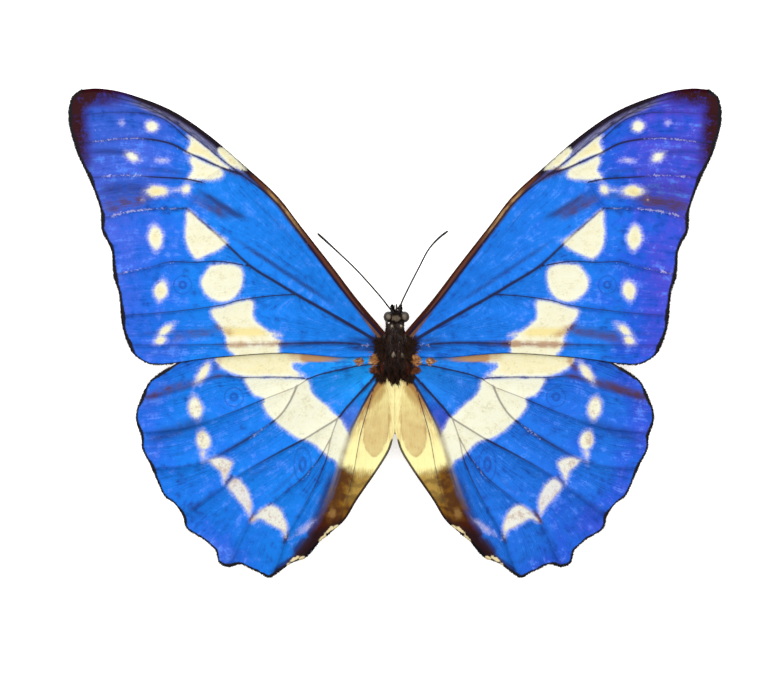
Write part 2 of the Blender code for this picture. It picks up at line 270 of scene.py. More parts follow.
HINDWING_VEINS = {
    "costa": ([(4.0, -4.6), (15.0, -3.4), (26.0, -3.0), (37.0, -4.4), (46.5, -8.4)], 0.22, 0.5,
              0.0),
    "rs": ([(4.0, -6.2), (8.0, -6.7), (15.0, -8.3), (17.3, -9.1), (20.0, -8.9), (25.0, -8.8),
            (30.0, -8.9), (35.0, -8.6), (38.0, -9.3), (42.0, -10.8), (50.5, -13.0)], 0.26, 0.8,
           0.8),
    "m1": ([(17.3, -9.1), (20.0, -10.8), (25.6, -13.0), (33.0, -16.0), (39.5, -18.2),
            (44.0, -19.2), (50.8, -19.8)], 0.22, 0.7, 1.6),
    "m2": ([(19.6, -10.6), (21.2, -14.0), (23.5, -17.0), (28.0, -20.2), (33.0, -23.2),
            (37.0, -25.2), (42.0, -26.6), (48.6, -27.0)], 0.36, 0.95, 2.4),
    "cubitus": ([(3.0, -7.6), (6.5, -11.4), (10.0, -15.3), (11.4, -17.0), (15.0, -19.3),
                 (18.3, -21.3), (24.0, -24.3), (30.0, -27.7), (34.0, -30.4),
                 (42.3, -36.6)], 0.34, 1.0, 3.4),
    "cu1": ([(12.7, -20.6), (15.2, -25.2), (18.8, -29.3), (24.0, -33.4), (29.2, -38.0),
             (33.2, -46.4)], 0.26, 0.7, 4.4),
    "cu2": ([(11.4, -17.0), (12.7, -20.6), (14.0, -26.0), (17.0, -32.5), (20.6, -38.5),
             (22.3, -42.0), (24.4, -48.2)], 0.26, 0.7, 5.2),
    "anal_edge": ([(2.6, -8.4), (4.4, -11.0), (6.4, -14.5), (8.2, -18.2)], 0.42, 0.95, 6.0),
    "anal_rear": ([(8.2, -18.2), (9.0, -20.0), (10.7, -26.0), (12.6, -32.0), (15.2, -38.0),
                   (18.0, -43.6)], 0.5, 0.4, 6.0),
    "anal": ([(4.4, -11.6), (6.0, -17.0), (7.0, -20.7), (7.75, -24.9), (8.4, -28.4),
              (9.6, -33.0), (11.5, -38.2)], 0.18, 0.7, 6.6),
}

# The cream band and spots. Closed outlines are rounded off; spots are
# (X, Y, half length, half width, turn in degrees, warmth from white 0 to yellow 1).
FOREWING_BAND = [
    ([(29.6, 32.6), (31.6, 34.8), (34.6, 37.2), (35.7, 36.4), (34.6, 35.0), (32.6, 33.2),
      (31.0, 32.5)], 0.5),
    ([(32.7, 32.7), (35.4, 35.1), (38.0, 37.4), (40.4, 39.3), (41.5, 39.6), (41.0, 38.0),
      (41.6, 36.1), (39.3, 35.3), (37.1, 34.3), (34.8, 33.0)], 0.45),
    ([(34.4, 31.3), (34.7, 32.8), (37.6, 34.0), (40.7, 35.5), (41.0, 34.0), (40.5, 32.6),
      (41.6, 30.8), (39.8, 30.6), (37.2, 30.5), (35.2, 30.8)], 0.15),
    ([(41.4, 24.6), (38.6, 22.3), (36.1, 20.2), (33.5, 18.1), (35.4, 16.5), (38.0, 15.3),
      (39.7, 14.8), (41.2, 16.6), (41.9, 18.8), (41.8, 21.6)], 0.1),
    ([(30.4, 10.6), (30.5, 12.5), (31.9, 13.6), (34.4, 13.8), (36.7, 13.6), (37.9, 12.0),
      (38.8, 10.2), (38.1, 8.2), (36.6, 6.8), (34.4, 6.2), (32.2, 6.9), (30.8, 8.7)], 0.05),
    ([(28.4, 6.5), (31.5, 6.2), (34.8, 5.2), (36.6, 4.6), (36.5, 3.2), (35.5, 1.9),
      (34.5, 0.4), (33.8, -0.9), (33.2, -2.7), (28.0, -2.8), (22.8, -2.2), (24.0, -0.8),
      (25.6, 0.6), (27.2, 1.9), (28.3, 3.2)], 0.1),
    ([(23.4, -1.8), (28.0, -2.0), (33.0, -2.0), (33.3, -3.3), (32.2, -4.3), (31.6, -5.6),
      (27.0, -5.4), (23.6, -5.0)], 0.15),
    ([(22.6, -0.6), (24.6, 0.2), (28.6, 0.5), (29.0, -0.1), (26.0, -0.6)], 0.7),
]
FOREWING_SPOTS = [
    (48.6, 41.3, 1.3, 1.15, 20, 0.1), (54.6, 42.0, 0.35, 0.3, 0, -0.9),
    (52.5, 35.2, 1.45, 0.9, 30, 0.0), (46.6, 34.5, 0.8, 0.3, 0, -0.2),
    (47.6, 28.3, 2.35, 1.2, 0, 0.75), (41.8, 28.7, 1.1, 0.9, -50, 0.4),
    (43.4, 28.6, 0.8, 0.25, 0, -0.3), (50.4, 26.6, 0.25, 0.2, 0, 0.0),
    (47.8, 19.0, 1.5, 2.55, -5, 0.3), (46.7, 8.5, 1.4, 2.05, 12, 0.35),
    (45.9, 0.5, 1.95, 0.8, -38, 0.5), (46.7, -1.4, 1.25, 0.85, -25, 0.6),
]
HINDWING_BAND = [
    ([(18.2, -8.8), (19.8, -7.4), (20.4, -6.2), (18.3, -5.8), (18.2, -3.6), (25.6, -2.2),
      (34.2, -3.0), (36.0, -5.0), (34.8, -6.9), (32.0, -8.2), (29.0, -8.8), (24.0, -8.8)], 0.33),
    ([(18.2, -5.9), (18.2, -3.9), (22.8, -3.7), (23.2, -5.0)], 1.2),
    ([(17.5, -9.3), (21.0, -9.0), (25.0, -8.9), (29.9, -9.0), (29.4, -10.8), (28.2, -12.4),
      (26.3, -13.1), (26.5, -14.5), (25.3, -16.3), (24.2, -17.5), (22.5, -19.0),
      (21.0, -20.1), (19.4, -21.1), (17.5, -21.6), (16.0, -22.4), (14.7, -23.6),
      (13.3, -24.9), (12.0, -25.6), (10.8, -27.2), (9.0, -24.5), (8.9, -20.9), (10.0, -18.7),
      (10.9, -17.0), (12.0, -16.2), (13.5, -14.6), (15.5, -13.0), (16.8, -11.4)], 0.0),
    ([(32.5, -26.0), (33.5, -25.2), (35.2, -24.8), (37.2, -25.4), (36.1, -26.7),
      (35.0, -27.6), (34.5, -29.0), (34.2, -30.2), (33.6, -28.7), (33.0, -27.4)], -0.2),
    ([(33.5, -30.4), (32.0, -29.0), (30.7, -29.7), (29.4, -31.5), (28.7, -33.8),
      (29.0, -36.4), (29.7, -35.8), (30.7, -34.3), (31.7, -33.2), (32.7, -31.8)], -0.3),
    ([(28.9, -37.7), (27.1, -35.6), (25.0, -34.4), (23.2, -35.1), (22.2, -36.9),
      (21.6, -38.8), (21.8, -41.1), (22.7, -39.6), (24.2, -38.8), (25.6, -38.0),
      (26.9, -37.3)], -0.2),
]
HINDWING_SPOTS = [
    (38.3, -7.9, 2.4, 0.95, -55, 0.5), (39.9, -15.0, 1.4, 2.35, -8, 0.1),
    (38.3, -21.5, 1.45, 2.1, -12, 0.1), (38.4, -24.0, 0.35, 1.2, 0, 0.0),
    (16.9, -38.2, 1.5, 0.32, -30, -0.8), (17.8, -39.2, 1.3, 0.3, -30, -0.8),
]

# Smears of brown scales and of darker blue ones, the cream tabs at the tail's edge and rows of
# pale flecks: points, half width, strength.
FOREWING_SMEARS = [
    ([(40.5, 27.4), (45.0, 27.3), (49.0, 27.0)], 0.9, 0.35),
    ([(47.0, 26.9), (53.5, 26.0), (60.0, 24.7)], 1.5, 0.85),
    ([(27.6, 30.4), (31.0, 31.9), (34.0, 32.9)], 0.9, 0.9),
    ([(32.0, 23.0), (36.6, 25.3), (41.5, 27.6)], 1.4, 0.6),
    ([(33.6, 0.5), (38.0, 0.1), (42.0, -0.6), (47.0, -1.8)], 1.2, 0.6),
    ([(31.6, -0.8), (34.0, 0.5), (36.8, 2.0)], 0.9, 0.8),
    ([(18.5, -2.1), (26.0, -2.2), (36.0, -2.3)], 0.62, 1.15),
    ([(60.5, 30.0), (58.7, 24.0), (57.5, 18.5)], 0.8, 0.4),
]
FOREWING_SHADES = [
    ([(39.5, 28.6), (36.0, 26.4), (33.0, 24.4), (29.0, 22.4)], 0.8, 0.9),
    ([(39.0, 27.0), (36.0, 24.6), (33.0, 22.6)], 1.0, 0.6),
    ([(33.0, 19.6), (26.0, 14.8), (19.0, 10.2), (11.0, 5.0)], 0.6, 0.75),
    ([(30.0, 19.6), (22.0, 14.0), (15.0, 9.0)], 0.35, 0.4),
    ([(31.0, 29.0), (24.0, 22.5), (17.0, 14.5)], 0.5, 0.35),
    ([(3.0, -1.2), (5.5, -2.2)], 1.4, 1.0), ([(4.0, -1.6), (10.0, -1.4)], 0.7, 0.7),
    ([(2.5, -3.4), (6.0, -3.2), (10.0, -2.9)], 0.6, 0.8), ([(5.0, -0.6), (14.0, 4.0)], 0.5, 0.6),
    ([(50.0, 35.0), (56.0, 36.2), (62.0, 36.2)], 0.8, 0.6),
    ([(47.0, 28.6), (53.0, 28.8), (61.0, 28.0)], 1.9, 0.62),
    ([(35.0, 0.3), (45.0, 0.2), (54.0, -0.6)], 0.5, 0.5),
    ([(40.5, 31.6), (46.0, 32.5), (52.0, 32.8)], 0.7, 0.5),
    ([(8.0, -3.6), (20.0, -3.1), (34.0, -3.4)], 0.35, 0.5),
    ([(3.0, -2.6), (12.0, -2.0), (23.0, -2.2)], 0.55, 0.8),
]
FOREWING_FLECKS = [
    ([(48.0, 38.6), (50.0, 38.8), (55.0, 38.8), (63.4, 37.8)], 0.36, 1.05),
    ([(48.0, 31.2), (53.5, 31.5), (60.5, 31.0)], 0.36, 1.0),
    ([(43.5, 14.2), (48.5, 13.2), (56.1, 11.6)], 0.3, 0.8),
    ([(4.4, -2.35), (7.6, -2.5)], 0.4, 0.9), ([(4.8, -3.3), (7.2, -3.9)], 0.3, 0.7),
    ([(40.6, 25.0), (47.4, 24.8), (52.3, 24.4), (59.0, 22.8)], 0.34, 1.0),
    ([(41.0, 18.0), (41.6, 22.0), (41.8, 25.0)], 0.4, 0.8),
    ([(36.0, 33.8), (41.0, 35.6), (46.0, 38.2)], 0.5, 0.6),
    ([(58.0, 41.0), (62.0, 39.8)], 0.9, 0.5), ([(47.5, 15.2), (49.0, 13.6), (55.5, 11.7)], 0.2, 0.7),
    ([(50.0, 45.3), (44.0, 42.5)], 0.3, 0.5), ([(52.0, 33.0), (49.0, 33.6)], 0.8, 0.4),
]
HINDWING_SMEARS = [
    ([(39.0, -9.4), (44.0, -10.9), (51.6, -13.4)], 1.05, 0.9),
    ([(33.0, -8.0), (36.5, -8.9), (40.0, -9.8)], 0.7, 0.6),
    ([(34.4, -4.4), (35.4, -6.2), (36.6, -8.2)], 0.85, 0.75),
    ([(29.6, -38.4), (28.2, -36.2), (27.2, -34.9)], 0.4, 0.85),
]
HINDWING_SHADES = [
    ([(36.5, -16.6), (41.0, -18.3), (45.0, -19.8), (50.0, -21.6)], 1.6, 0.6),
    ([(34.1, -30.4), (32.6, -28.6), (33.4, -29.2)], 0.5, 0.9),
    ([(28.0, -20.2), (33.0, -23.2), (36.6, -25.0)], 0.5, 0.7),
    ([(12.2, -27.0), (13.4, -31.5), (15.2, -36.5), (17.5, -41.5)], 1.3, 0.9),
    ([(15.6, -38.0), (17.0, -41.2)], 1.0, 1.6),
    ([(17.0, -41.2), (18.4, -43.0), (20.0, -44.6)], 1.3, 1.8),
    ([(20.0, -44.9), (22.0, -46.3), (24.4, -48.0)], 0.7, 1.2),
    ([(3.0, -8.0), (5.0, -10.0), (7.4, -12.6)], 0.45, 0.8),
    ([(21.3, -39.5), (22.4, -42.5)], 0.5, 0.8),
    ([(17.5, -25.0), (22.0, -30.0), (27.0, -34.0)], 0.5, 0.4),
    ([(14.5, -23.8), (16.2, -29.0), (18.5, -33.5)], 0.5, 0.4),
    ([(35.0, -31.0), (39.0, -34.0), (43.0, -36.0)], 0.7, 0.4),
    ([(24.0, -26.4), (30.0, -29.0)], 0.6, 0.35),
]
HINDWING_TABS = [
    ([(11.3, -38.6), (12.1, -39.2)], 0.42, 1.1), ([(12.1, -38.7), (14.0, -40.2)], 0.3, 1.1),
    ([(13.7, -40.5), (15.2, -41.9)], 0.42, 1.1), ([(18.1, -44.9), (19.4, -45.4)], 0.42, 1.1),
    ([(19.2, -44.8), (21.0, -45.8)], 0.28, 1.1), ([(20.9, -46.2), (21.7, -46.7)], 0.36, 1.1),
]
HINDWING_FLECKS = [
    ([(24.0, -17.6), (27.0, -19.6), (29.5, -21.4)], 0.4, 0.9),
    ([(14.5, -23.5), (16.5, -27.0), (19.0, -30.0)], 0.3, 0.7),
    ([(41.0, -39.0), (44.5, -34.5), (47.5, -30.0)], 0.5, 0.5),
    ([(20.5, -41.0), (22.5, -39.0)], 0.6, 0.6), ([(11.8, -36.3), (13.3, -36.0)], 1.0, 1.4),
]

# Round marks at the wing roots: centre, radii, strength.
ROOT_BLACK = [((2.7, -2.2), (1.3, 1.2), 0.8), ((2.4, -3.5), (1.6, 1.2), 1.0),
              ((2.6, -8.5), (1.2, 1.1), 1.0), ((2.2, -6.0), (1.1, 2.6), 0.9)]
ROOT_GINGER = [((3.8, -5.3), (1.2, 1.6), 0.9), ((6.9, -5.7), (1.0, 0.8), 0.7)]
ROOT_RUSSET = [((3.6, -7.3), (1.3, 0.9), 0.9)]

# On the hindwing: the downy inner margin, the violet strip beside it and the tan lobe in it.
INNER_MARGIN = [(-2.0, -8.0), (2.6, -8.6), (4.4, -11.0), (6.4, -14.5), (8.8, -19.6),
                (10.2, -24.0), (11.4, -28.0), (12.9, -32.5), (15.0, -37.0), (17.4, -41.6),
                (21.0, -46.0), (15.0, -52.0), (-2.0, -52.0)]
VIOLET_STRIP = [(2.6, -7.6), (3.2, -7.8), (6.5, -11.4), (10.0, -15.3), (11.4, -17.0),
                (12.9, -21.0), (11.0, -24.0), (8.8, -19.6), (6.4, -14.5), (4.4, -11.0)]
LOBE = [(1.5, -10.6), (2.9, -10.8), (4.3, -12.8), (5.5, -16.0), (6.3, -19.6), (6.0, -22.8),
        (4.4, -24.8), (2.9, -24.0), (1.9, -22.0), (1.2, -19.2), (1.1, -15.0)]


def smooth_run(points, steps):
    """Catmull-Rom curve through the points, without the last one."""
    pts = [np.array(p, float) for p in points]
    ends = [2 * pts[0] - pts[1]] + pts + [2 * pts[-1] - pts[-2]]
    curve = []
    for a, b, c, d in zip(ends, ends[1:], ends[2:], ends[3:]):
        for i in range(steps):
            t = i / steps
            curve.append(0.5 * (2 * b + (c - a) * t + (2 * a - 5 * b + 4 * c - d) * t ** 2
                                + (3 * b - a - 3 * c + d) * t ** 3))
    return curve


def whole_run(points, steps):
    """The same curve with its last point."""
    return smooth_run(points, steps) + [np.array(points[-1], float)]


def spaced(curve, gap):
    """Points along a polyline, about a gap apart, ends included."""
    curve = np.asarray(curve, float)
    lengths = np.hypot(*np.diff(curve, axis=0).T)
    along = np.concatenate([[0], np.cumsum(lengths)])
    marks = np.linspace(0, along[-1], max(2, int(round(along[-1] / gap)) + 1))
    return np.column_stack([np.interp(marks, along, curve[:, i]) for i in range(2)])


def full_run(points, gap):
    """A smooth run through the points as a polyline, both ends included."""
    return spaced(whole_run(points, 6), gap)


def outer_margin(runs):
    """The part of an outline that carries the black border."""
    return np.concatenate([full_run(runs[k], 0.5) for k in ("apex", "outer", "tail") if k in runs])


def outline(runs, gap):
    """One closed loop from an outline's runs, each smooth between its corners."""
    return np.concatenate([full_run(run, gap)[:-1] for run in runs.values()])


def line_distance(points, line):
    """Distance of each point to a polyline, and how far along it (0 to 1) the nearest is."""
    a, b = line[:-1], line[1:]
    reach = b - a
    long2 = np.maximum((reach ** 2).sum(axis=1), 1e-9)
    best = np.full(len(points), 1e9)
    where = np.zeros(len(points))
    for i in range(len(a)):
        t = np.clip(((points - a[i]) @ reach[i]) / long2[i], 0, 1)
        gap = np.hypot(*(points - a[i] - t[:, None] * reach[i]).T)
        nearer = gap < best
        best[nearer] = gap[nearer]
        where[nearer] = (i + t[nearer]) / len(a)
    return best, where


def within(points, loop):
    """Which points lie inside the loop."""
    x, y = points[:, 0], points[:, 1]
    inside = np.zeros(len(points), bool)
    for (ax, ay), (bx, by) in zip(loop, np.roll(loop, -1, axis=0)):
        if ay != by:
            inside ^= ((ay > y) != (by > y)) & (x < ax + (bx - ax) * (y - ay) / (by - ay))
    return inside


def depth_in(points, loop):
    """Distance to the loop, positive inside it."""
    gap, _ = line_distance(points, np.concatenate([loop, loop[:1]]))
    return np.where(within(points, loop), gap, -gap)


def rounded(corners):
    """A closed smooth loop through the corners."""
    pts = [corners[-1], *corners, corners[0], corners[1]]
    return np.array(smooth_run(pts, 4)[4:-4])


def spot_depth(points, spot):
    """About how far inside a leaf-shaped spot each point lies."""
    x, y, half_length, half_width, turn, _ = spot
    c, s = math.cos(math.radians(turn)), math.sin(math.radians(turn))
    away = points - (x, y)
    along = np.abs(away[:, 0] * c + away[:, 1] * s) / half_length
    across = np.abs(away[:, 1] * c - away[:, 0] * s) / half_width
    return (1 - (along ** 1.7 + across ** 1.7) ** (1 / 1.7)) * min(half_length, half_width)


def soft(value, low, high):
    """Smooth rise from 0 at low to 1 at high."""
    t = np.clip((value - low) / (high - low), 0, 1)
    return t * t * (3 - 2 * t)


def cream_fields(points, band, spots):
    """Depth inside the band and spots, and the warmth of the nearest of them."""
    deepest = np.full(len(points), -9.0)
    warmth = np.zeros(len(points))
    marks = [(depth_in(points, rounded(loop)), warm) for loop, warm in band]
    marks += [(spot_depth(points, spot), spot[5]) for spot in spots]
    for depth, warm in marks:
        nearer = depth > deepest
        deepest[nearer] = depth[nearer]
        warmth[nearer] = warm
    return np.clip(deepest, -4, 4), warmth


def root_marks(points, centres):
    """Strength of the round marks at the wing roots: centre, radii, strength."""
    field = np.zeros(len(points))
    for centre, radii, strength in centres:
        away = np.hypot(*((points - centre) / radii).T)
        field = np.maximum(field, strength * soft(away, 1.0, 0.5))
    return field


def smear_field(points, smears):
    """Strongest soft smear at each point."""
    field = np.zeros(len(points))
    for line, half_width, strength in smears:
        gap, part = line_distance(points, full_run(line, 1.0))
        taper = soft(part, -0.15, 0.3) * soft(part, 1.15, 0.7)
        field = np.maximum(field, strength * taper * np.exp(-(gap / half_width) ** 2))
    return field


def vein_field(points, veins):
    """Darkness of the vein lines, distance to the nearest vein, and place in the vein fan."""
    dark = np.zeros(len(points))
    nearest = np.full(len(points), 9.0)
    total, weight = np.zeros(len(points)), np.zeros(len(points))
    for line, half_width, strength, order in veins.values():
        gap, part = line_distance(points, full_run(line, 0.6))
        width = half_width * (1.0 - 0.35 * part)
        dark = np.maximum(dark, strength * (1 - 0.55 * part) * np.clip(1 - gap / width, 0, 1))
        nearest = np.minimum(nearest, gap)
        pull = 1 / (gap ** 2 + 0.4)
        total, weight = total + pull * order, weight + pull
    return dark, nearest, total / weight


def forewing_colours(points, fields):
    """Marks that only the forewings have: leading edge, smoke, hem and dark tip."""
    x, y = points[:, 0], points[:, 1]
    costa, along = line_distance(points, full_run(FOREWING_OUTLINE["costa"], 0.8))
    strip = 1.45 + 0.6 * soft(x, 9, 2) - 0.3 * soft(x, 24, 33) - 0.45 * soft(x, 48, 56)
    fields["costa"] = np.clip(strip - costa, -3, 3)
    fields["costa_gap"] = np.minimum(costa / strip - 0.28 * soft(x, 14, 4), 3)
    fields["brown"] = soft(x, 29.5, 27.5)
    fields["golden"] = soft(x, 16.5, 20.5) * soft(x, 26.2, 24.6) \
        + 0.35 * soft(x, 8.0, 5.5)
    fields["smoke"] = soft(costa, 2.9, 1.2) * soft(x, 33.5, 36.5) * soft(x, 57, 47)
    fields["violet"] = np.clip(0.66 * soft(x, 33, 52) + 0.25 * soft(fields["edge"], 7, 1)
                               * soft(x, 35, 48) + 0.2 * soft(y, 20, 38) * soft(x, 32, 50)
                               - 0.15 * soft(y, 8, -4), 0, 1)
    fields["margin"] = fields["margin"] + 0.3 * soft(y, -2.5, -4.5)
    fields["warmth"] = fields["warmth"] + 0.95 * np.exp(-((y - 0.2) / 0.75) ** 2) \
        * soft(x, 24.0, 27.5) * soft(x, 37, 33)
    rear, _ = line_distance(points, full_run(FOREWING_OUTLINE["rear"], 0.8))
    fields["hem"] = soft(rear, 0.3, 0.12) * soft(x, 17, 23)
    fields["apex"] = soft(x + 0.5 * y, 73, 86) * soft(fields["edge"], 5.6, 0.5)


def hindwing_colours(points, fields):
    """Marks that only the hindwings have: inner margin, lobe, hinge strip and hem."""
    x, y = points[:, 0], points[:, 1]
    fields["inner"] = np.clip(depth_in(points, np.array(INNER_MARGIN)), -4, 4)
    strip = depth_in(points, np.array(VIOLET_STRIP))
    fields["violet"] = np.clip(0.45 * soft(fields["edge"], 10, 1.5) * soft(x, 20, 34)
                               + 0.15 * soft(y, -30, -42) + 0.12 * soft(x, 38, 50)
                               + soft(strip, -0.1, 0.3) * (0.25 + 0.8 * soft(y, -12, -17)),
                               0, 1)
    fields["lobe"] = np.clip(depth_in(points, rounded(LOBE)), -2, 2)
    fields["golden"] = (0.45 * soft(x, 19.4, 18.0) + 0.55 * soft(x, 23.5, 20.0)) \
        * soft(x, 6, 16) * soft(y, -6.1, -5.4)
    inner_margin, _ = line_distance(points, full_run(HINDWING_OUTLINE["fold"], 0.8))
    front_margin, _ = line_distance(points, full_run(HINDWING_OUTLINE["costa"], 0.8))
    fields["hem"] = soft(inner_margin, 0.5, 0.28) * soft(y, -20.8, -21.8) \
        + soft(front_margin, 0.55, 0.3) * soft(x, 38, 42)


def ocellus_distance(points, centres):
    """Distance to the nearest faint ring mark's centre, in its own radii."""
    best = np.full(len(points), 9.0)
    for x, y, wide, high in centres:
        best = np.minimum(best, np.hypot((points[:, 0] - x) / wide, (points[:, 1] - y) / high))
    return best


FOREWING = {
    "runs": FOREWING_OUTLINE, "veins": FOREWING_VEINS, "level": 0.30, "band": FOREWING_BAND,
    "spots": FOREWING_SPOTS, "smears": FOREWING_SMEARS, "shades": FOREWING_SHADES,
    "flecks": FOREWING_FLECKS, "colours": forewing_colours, "tabs": [],
    "rings": [(42.4, 9.6, 1.8, 1.8)],
}
HINDWING = {
    "runs": HINDWING_OUTLINE, "veins": HINDWING_VEINS, "level": -0.20, "band": HINDWING_BAND,
    "spots": HINDWING_SPOTS, "smears": HINDWING_SMEARS, "shades": HINDWING_SHADES,
    "flecks": HINDWING_FLECKS, "colours": hindwing_colours, "tabs": HINDWING_TABS,
    "rings": [(32.2, -12.8, 1.9, 1.9), (18.5, -26.3, 1.7, 3.4)],
}


def wing_height(x, y):
    """Height of the surface that both wings of a side follow."""
    return WING_ROOT_HEIGHT + WING_SLOPE * np.abs(x) - WING_SAG * x * x - WING_CAMBER * y * y


def wing_plan(wing):
    """Points of a wing seen from above, with rows on and beside each vein, and its triangles."""
    loop = outline(wing["runs"], WING_GRID)
    way = np.roll(loop, -1, axis=0) - np.roll(loop, 1, axis=0)
    inward = np.column_stack([-way[:, 1], way[:, 0]]) / np.hypot(*way.T)[:, None]
    if depth_in(loop[:1] + inward[:1] * 0.1, loop)[0] < 0:
        inward = -inward
    rows = [loop]
    for inset in EDGE_ROWS:
        row = loop + inward * inset
        rows.append(row[depth_in(row, loop) > inset * 0.8])
    taken = list(rows)
    for line, half_width, *_ in wing["veins"].values():
        run = full_run(line, WING_GRID)
        way = np.gradient(run, axis=0)
        way /= np.maximum(np.hypot(*way.T), 1e-9)[:, None]
        across = np.column_stack([-way[:, 1], way[:, 0]])
        for row in (run, run + across * half_width, run - across * half_width):
            inside = depth_in(row, loop) > 0.2
            gap = min_gap(row, np.concatenate(taken))
            rows.append(row[inside & (gap > 0.13)])
        taken = rows
    low, high = loop.min(axis=0), loop.max(axis=0)
    grid = np.array([(x + WING_GRID / 2 * (r % 2), y)
                     for r, y in enumerate(np.arange(low[1], high[1], WING_GRID * 0.866))
                     for x in np.arange(low[0], high[0], WING_GRID)])
    grid = grid[depth_in(grid, loop) > WING_GRID * 0.45]
    grid = grid[min_gap(grid, np.concatenate(rows)) > WING_GRID * 0.55]
    plan = np.concatenate(rows + [grid])
    edge = [(i, (i + 1) % len(loop)) for i in range(len(loop))]
    flat, _, triangles, *_ = delaunay_2d_cdt([Vector(p) for p in plan], edge, [], 1, 1e-6)
    return np.array([tuple(p) for p in flat]), np.array(triangles), loop


def min_gap(points, others):
    """Distance of each point to the nearest of the others, measured in small cells."""
    cell = 1.2
    table = {}
    for p in others:
        table.setdefault((int(p[0] // cell), int(p[1] // cell)), []).append(p)
    found = np.full(len(points), 9.0)
    for i, p in enumerate(points):
        cx, cy = int(p[0] // cell), int(p[1] // cell)
        near = [q for dx in (-1, 0, 1) for dy in (-1, 0, 1)
                for q in table.get((cx + dx, cy + dy), ())]
        if near:
            found[i] = np.hypot(*(np.array(near) - p).T).min()
    return found


def wing_fields(points, wing, loop):
    """All the marks of a wing's upper face, by name."""
    edge, _ = line_distance(points, np.concatenate([loop, loop[:1]]))
    margin, _ = line_distance(points, outer_margin(wing["runs"]))
    cream, warmth = cream_fields(points, wing["band"], wing["spots"])
    dark, nearest, fan = vein_field(points, wing["veins"])
    fields = {"edge": np.minimum(edge, 6), "margin": np.minimum(margin, 6), "cream": cream,
              "warmth": warmth, "vein": dark,
              "near_vein": nearest, "fan": fan, "smear": smear_field(points, wing["smears"]),
              "shade": smear_field(points, wing["shades"]),
              "fleck": smear_field(points, wing["flecks"]),
              "tab": smear_field(points, wing["tabs"]),
              "ring": np.minimum(ocellus_distance(points, wing["rings"]), 3),
              "black": root_marks(points, ROOT_BLACK),
              "ginger": root_marks(points, ROOT_GINGER),
              "russet": root_marks(points, ROOT_RUSSET)}
    wing["colours"](points, fields)
    return fields


def add_wing(name, wing, side, material):
    """A wing's membrane with raised veins; its marks are stored as attributes."""
    points, triangles, loop = wing["plan"]
    fields = wing["fields"]
    x, y = points.T
    count = len(points)
    vein = np.exp(-(fields["near_vein"] / VEIN_ROUNDING) ** 2)
    pleat = PLEAT * np.cos(np.minimum(fields["near_vein"], 3.0) / 3.0 * math.pi) \
        * soft(fields["edge"], 0.0, 2.5)
    wave = WAVE * np.sin(x * 0.33 + 0.1 * y) * np.sin(y * 0.21 + 1.0) * soft(fields["edge"], 0, 4)
    middle = wing_height(x, y) + wing["level"] + pleat + wave
    if "lobe" in fields:
        middle += LOBE_RISE * soft(fields["lobe"], -0.1, 0.5)
    rise = VEIN_RISE * vein * soft(fields["edge"], 0.0, 1.0)
    top = np.column_stack([side * x, y, middle + MEMBRANE / 2 + rise])
    bottom = np.column_stack([side * x, y, middle - MEMBRANE / 2 - 0.7 * rise])
    faces = [tuple(t) for t in triangles]
    faces += [(a + count, c + count, b + count) for a, b, c in triangles]
    uses = {pair for a, b, c in triangles for pair in ((a, b), (b, c), (c, a))}
    faces += [(b, a, a + count, b + count) for a, b in uses if (b, a) not in uses]
    if side < 0:
        faces = [f[::-1] for f in faces]
    made = mesh_object(name, np.concatenate([top, bottom]), faces, material)
    for key, values in fields.items():
        if key not in ("edge", "fan"):
            store(made.data, key, np.concatenate([values, values]))
    store(made.data, "upper", np.repeat([1.0, 0.0], count))
    add_bake_map(made.data, points, faces)
    reach = np.hypot(x, y)
    ray = np.column_stack([reach, fields["fan"] * 6.0, np.zeros(count)])
    store_vectors(made.data, "ray", np.concatenate([ray, ray]))
    return made


def add_bake_map(mesh, points, faces):
    """Lay a wing out flat: its upper face large, its under face below, its rim round the upper."""
    count = len(points)
    low, high = points.min(axis=0), points.max(axis=0)
    centre = (low + high) / 2
    places = []
    for face in faces:
        is_rim = len(face) == 4
        for corner in face:
            is_under = corner >= count
            place = points[corner % count]
            if is_rim and is_under:
                place = centre + (place - centre) * 1.008
            u, v = (place - low) / (high - low)
            places.append((0.01 + 0.98 * u, 0.01 + 0.22 * v if is_under and not is_rim
                           else 0.25 + 0.74 * v))
    mesh.uv_layers.new(name="OFBake").data.foreach_set("uv", np.array(places).ravel())


def store(mesh, name, values):
    """Save one number for each vertex."""
    mesh.attributes.new(name, "FLOAT", "POINT").data.foreach_set("value", values)


def store_vectors(mesh, name, vectors):
    """Save one vector for each vertex."""
    mesh.attributes.new(name, "FLOAT_VECTOR", "POINT").data.foreach_set(
        "vector", np.asarray(vectors, float).ravel())


AZURE, COBALT, VIOLET = (0.003, 0.112, 0.48), (0.006, 0.055, 0.42), (0.050, 0.035, 0.36)
PALE_BLUE, DEEP_BLUE, NAVY = (0.055, 0.19, 0.66), (0.004, 0.018, 0.17), (0.006, 0.008, 0.065)
# Painted light: the left wings' purer azure, and the darker blue of the right hindwing and the left
# forewing's tip. The root azure is brighter on both hindwings and most on the left.
LIT_LEFT_AZURE, SHADED_RIGHT_COBALT = (0.0, 0.16, 0.56), (0.012, 0.050, 0.34)
ROOT_AZURE, SHADED_TIP_COBALT = (0.004, 0.26, 0.60), (0.024, 0.050, 0.28)
CREAM_WHITE, CREAM_YELLOW, CREAM_GREY = (0.70, 0.71, 0.58), (0.70, 0.60, 0.27), (0.42, 0.42, 0.31)
LILAC_WHITE, TAN, CRESCENT_TAN = (0.44, 0.42, 0.66), (0.58, 0.44, 0.28), (0.46, 0.34, 0.29)
DOWN_CREAM, DOWN_OCHRE, DOWN_LIGHT = (0.78, 0.71, 0.34), (0.56, 0.41, 0.14), (0.84, 0.78, 0.36)
DOWN_RUST, LOBE_OCHRE, LOBE_TAN = (0.30, 0.15, 0.04), (0.56, 0.45, 0.16), (0.53, 0.385, 0.155)
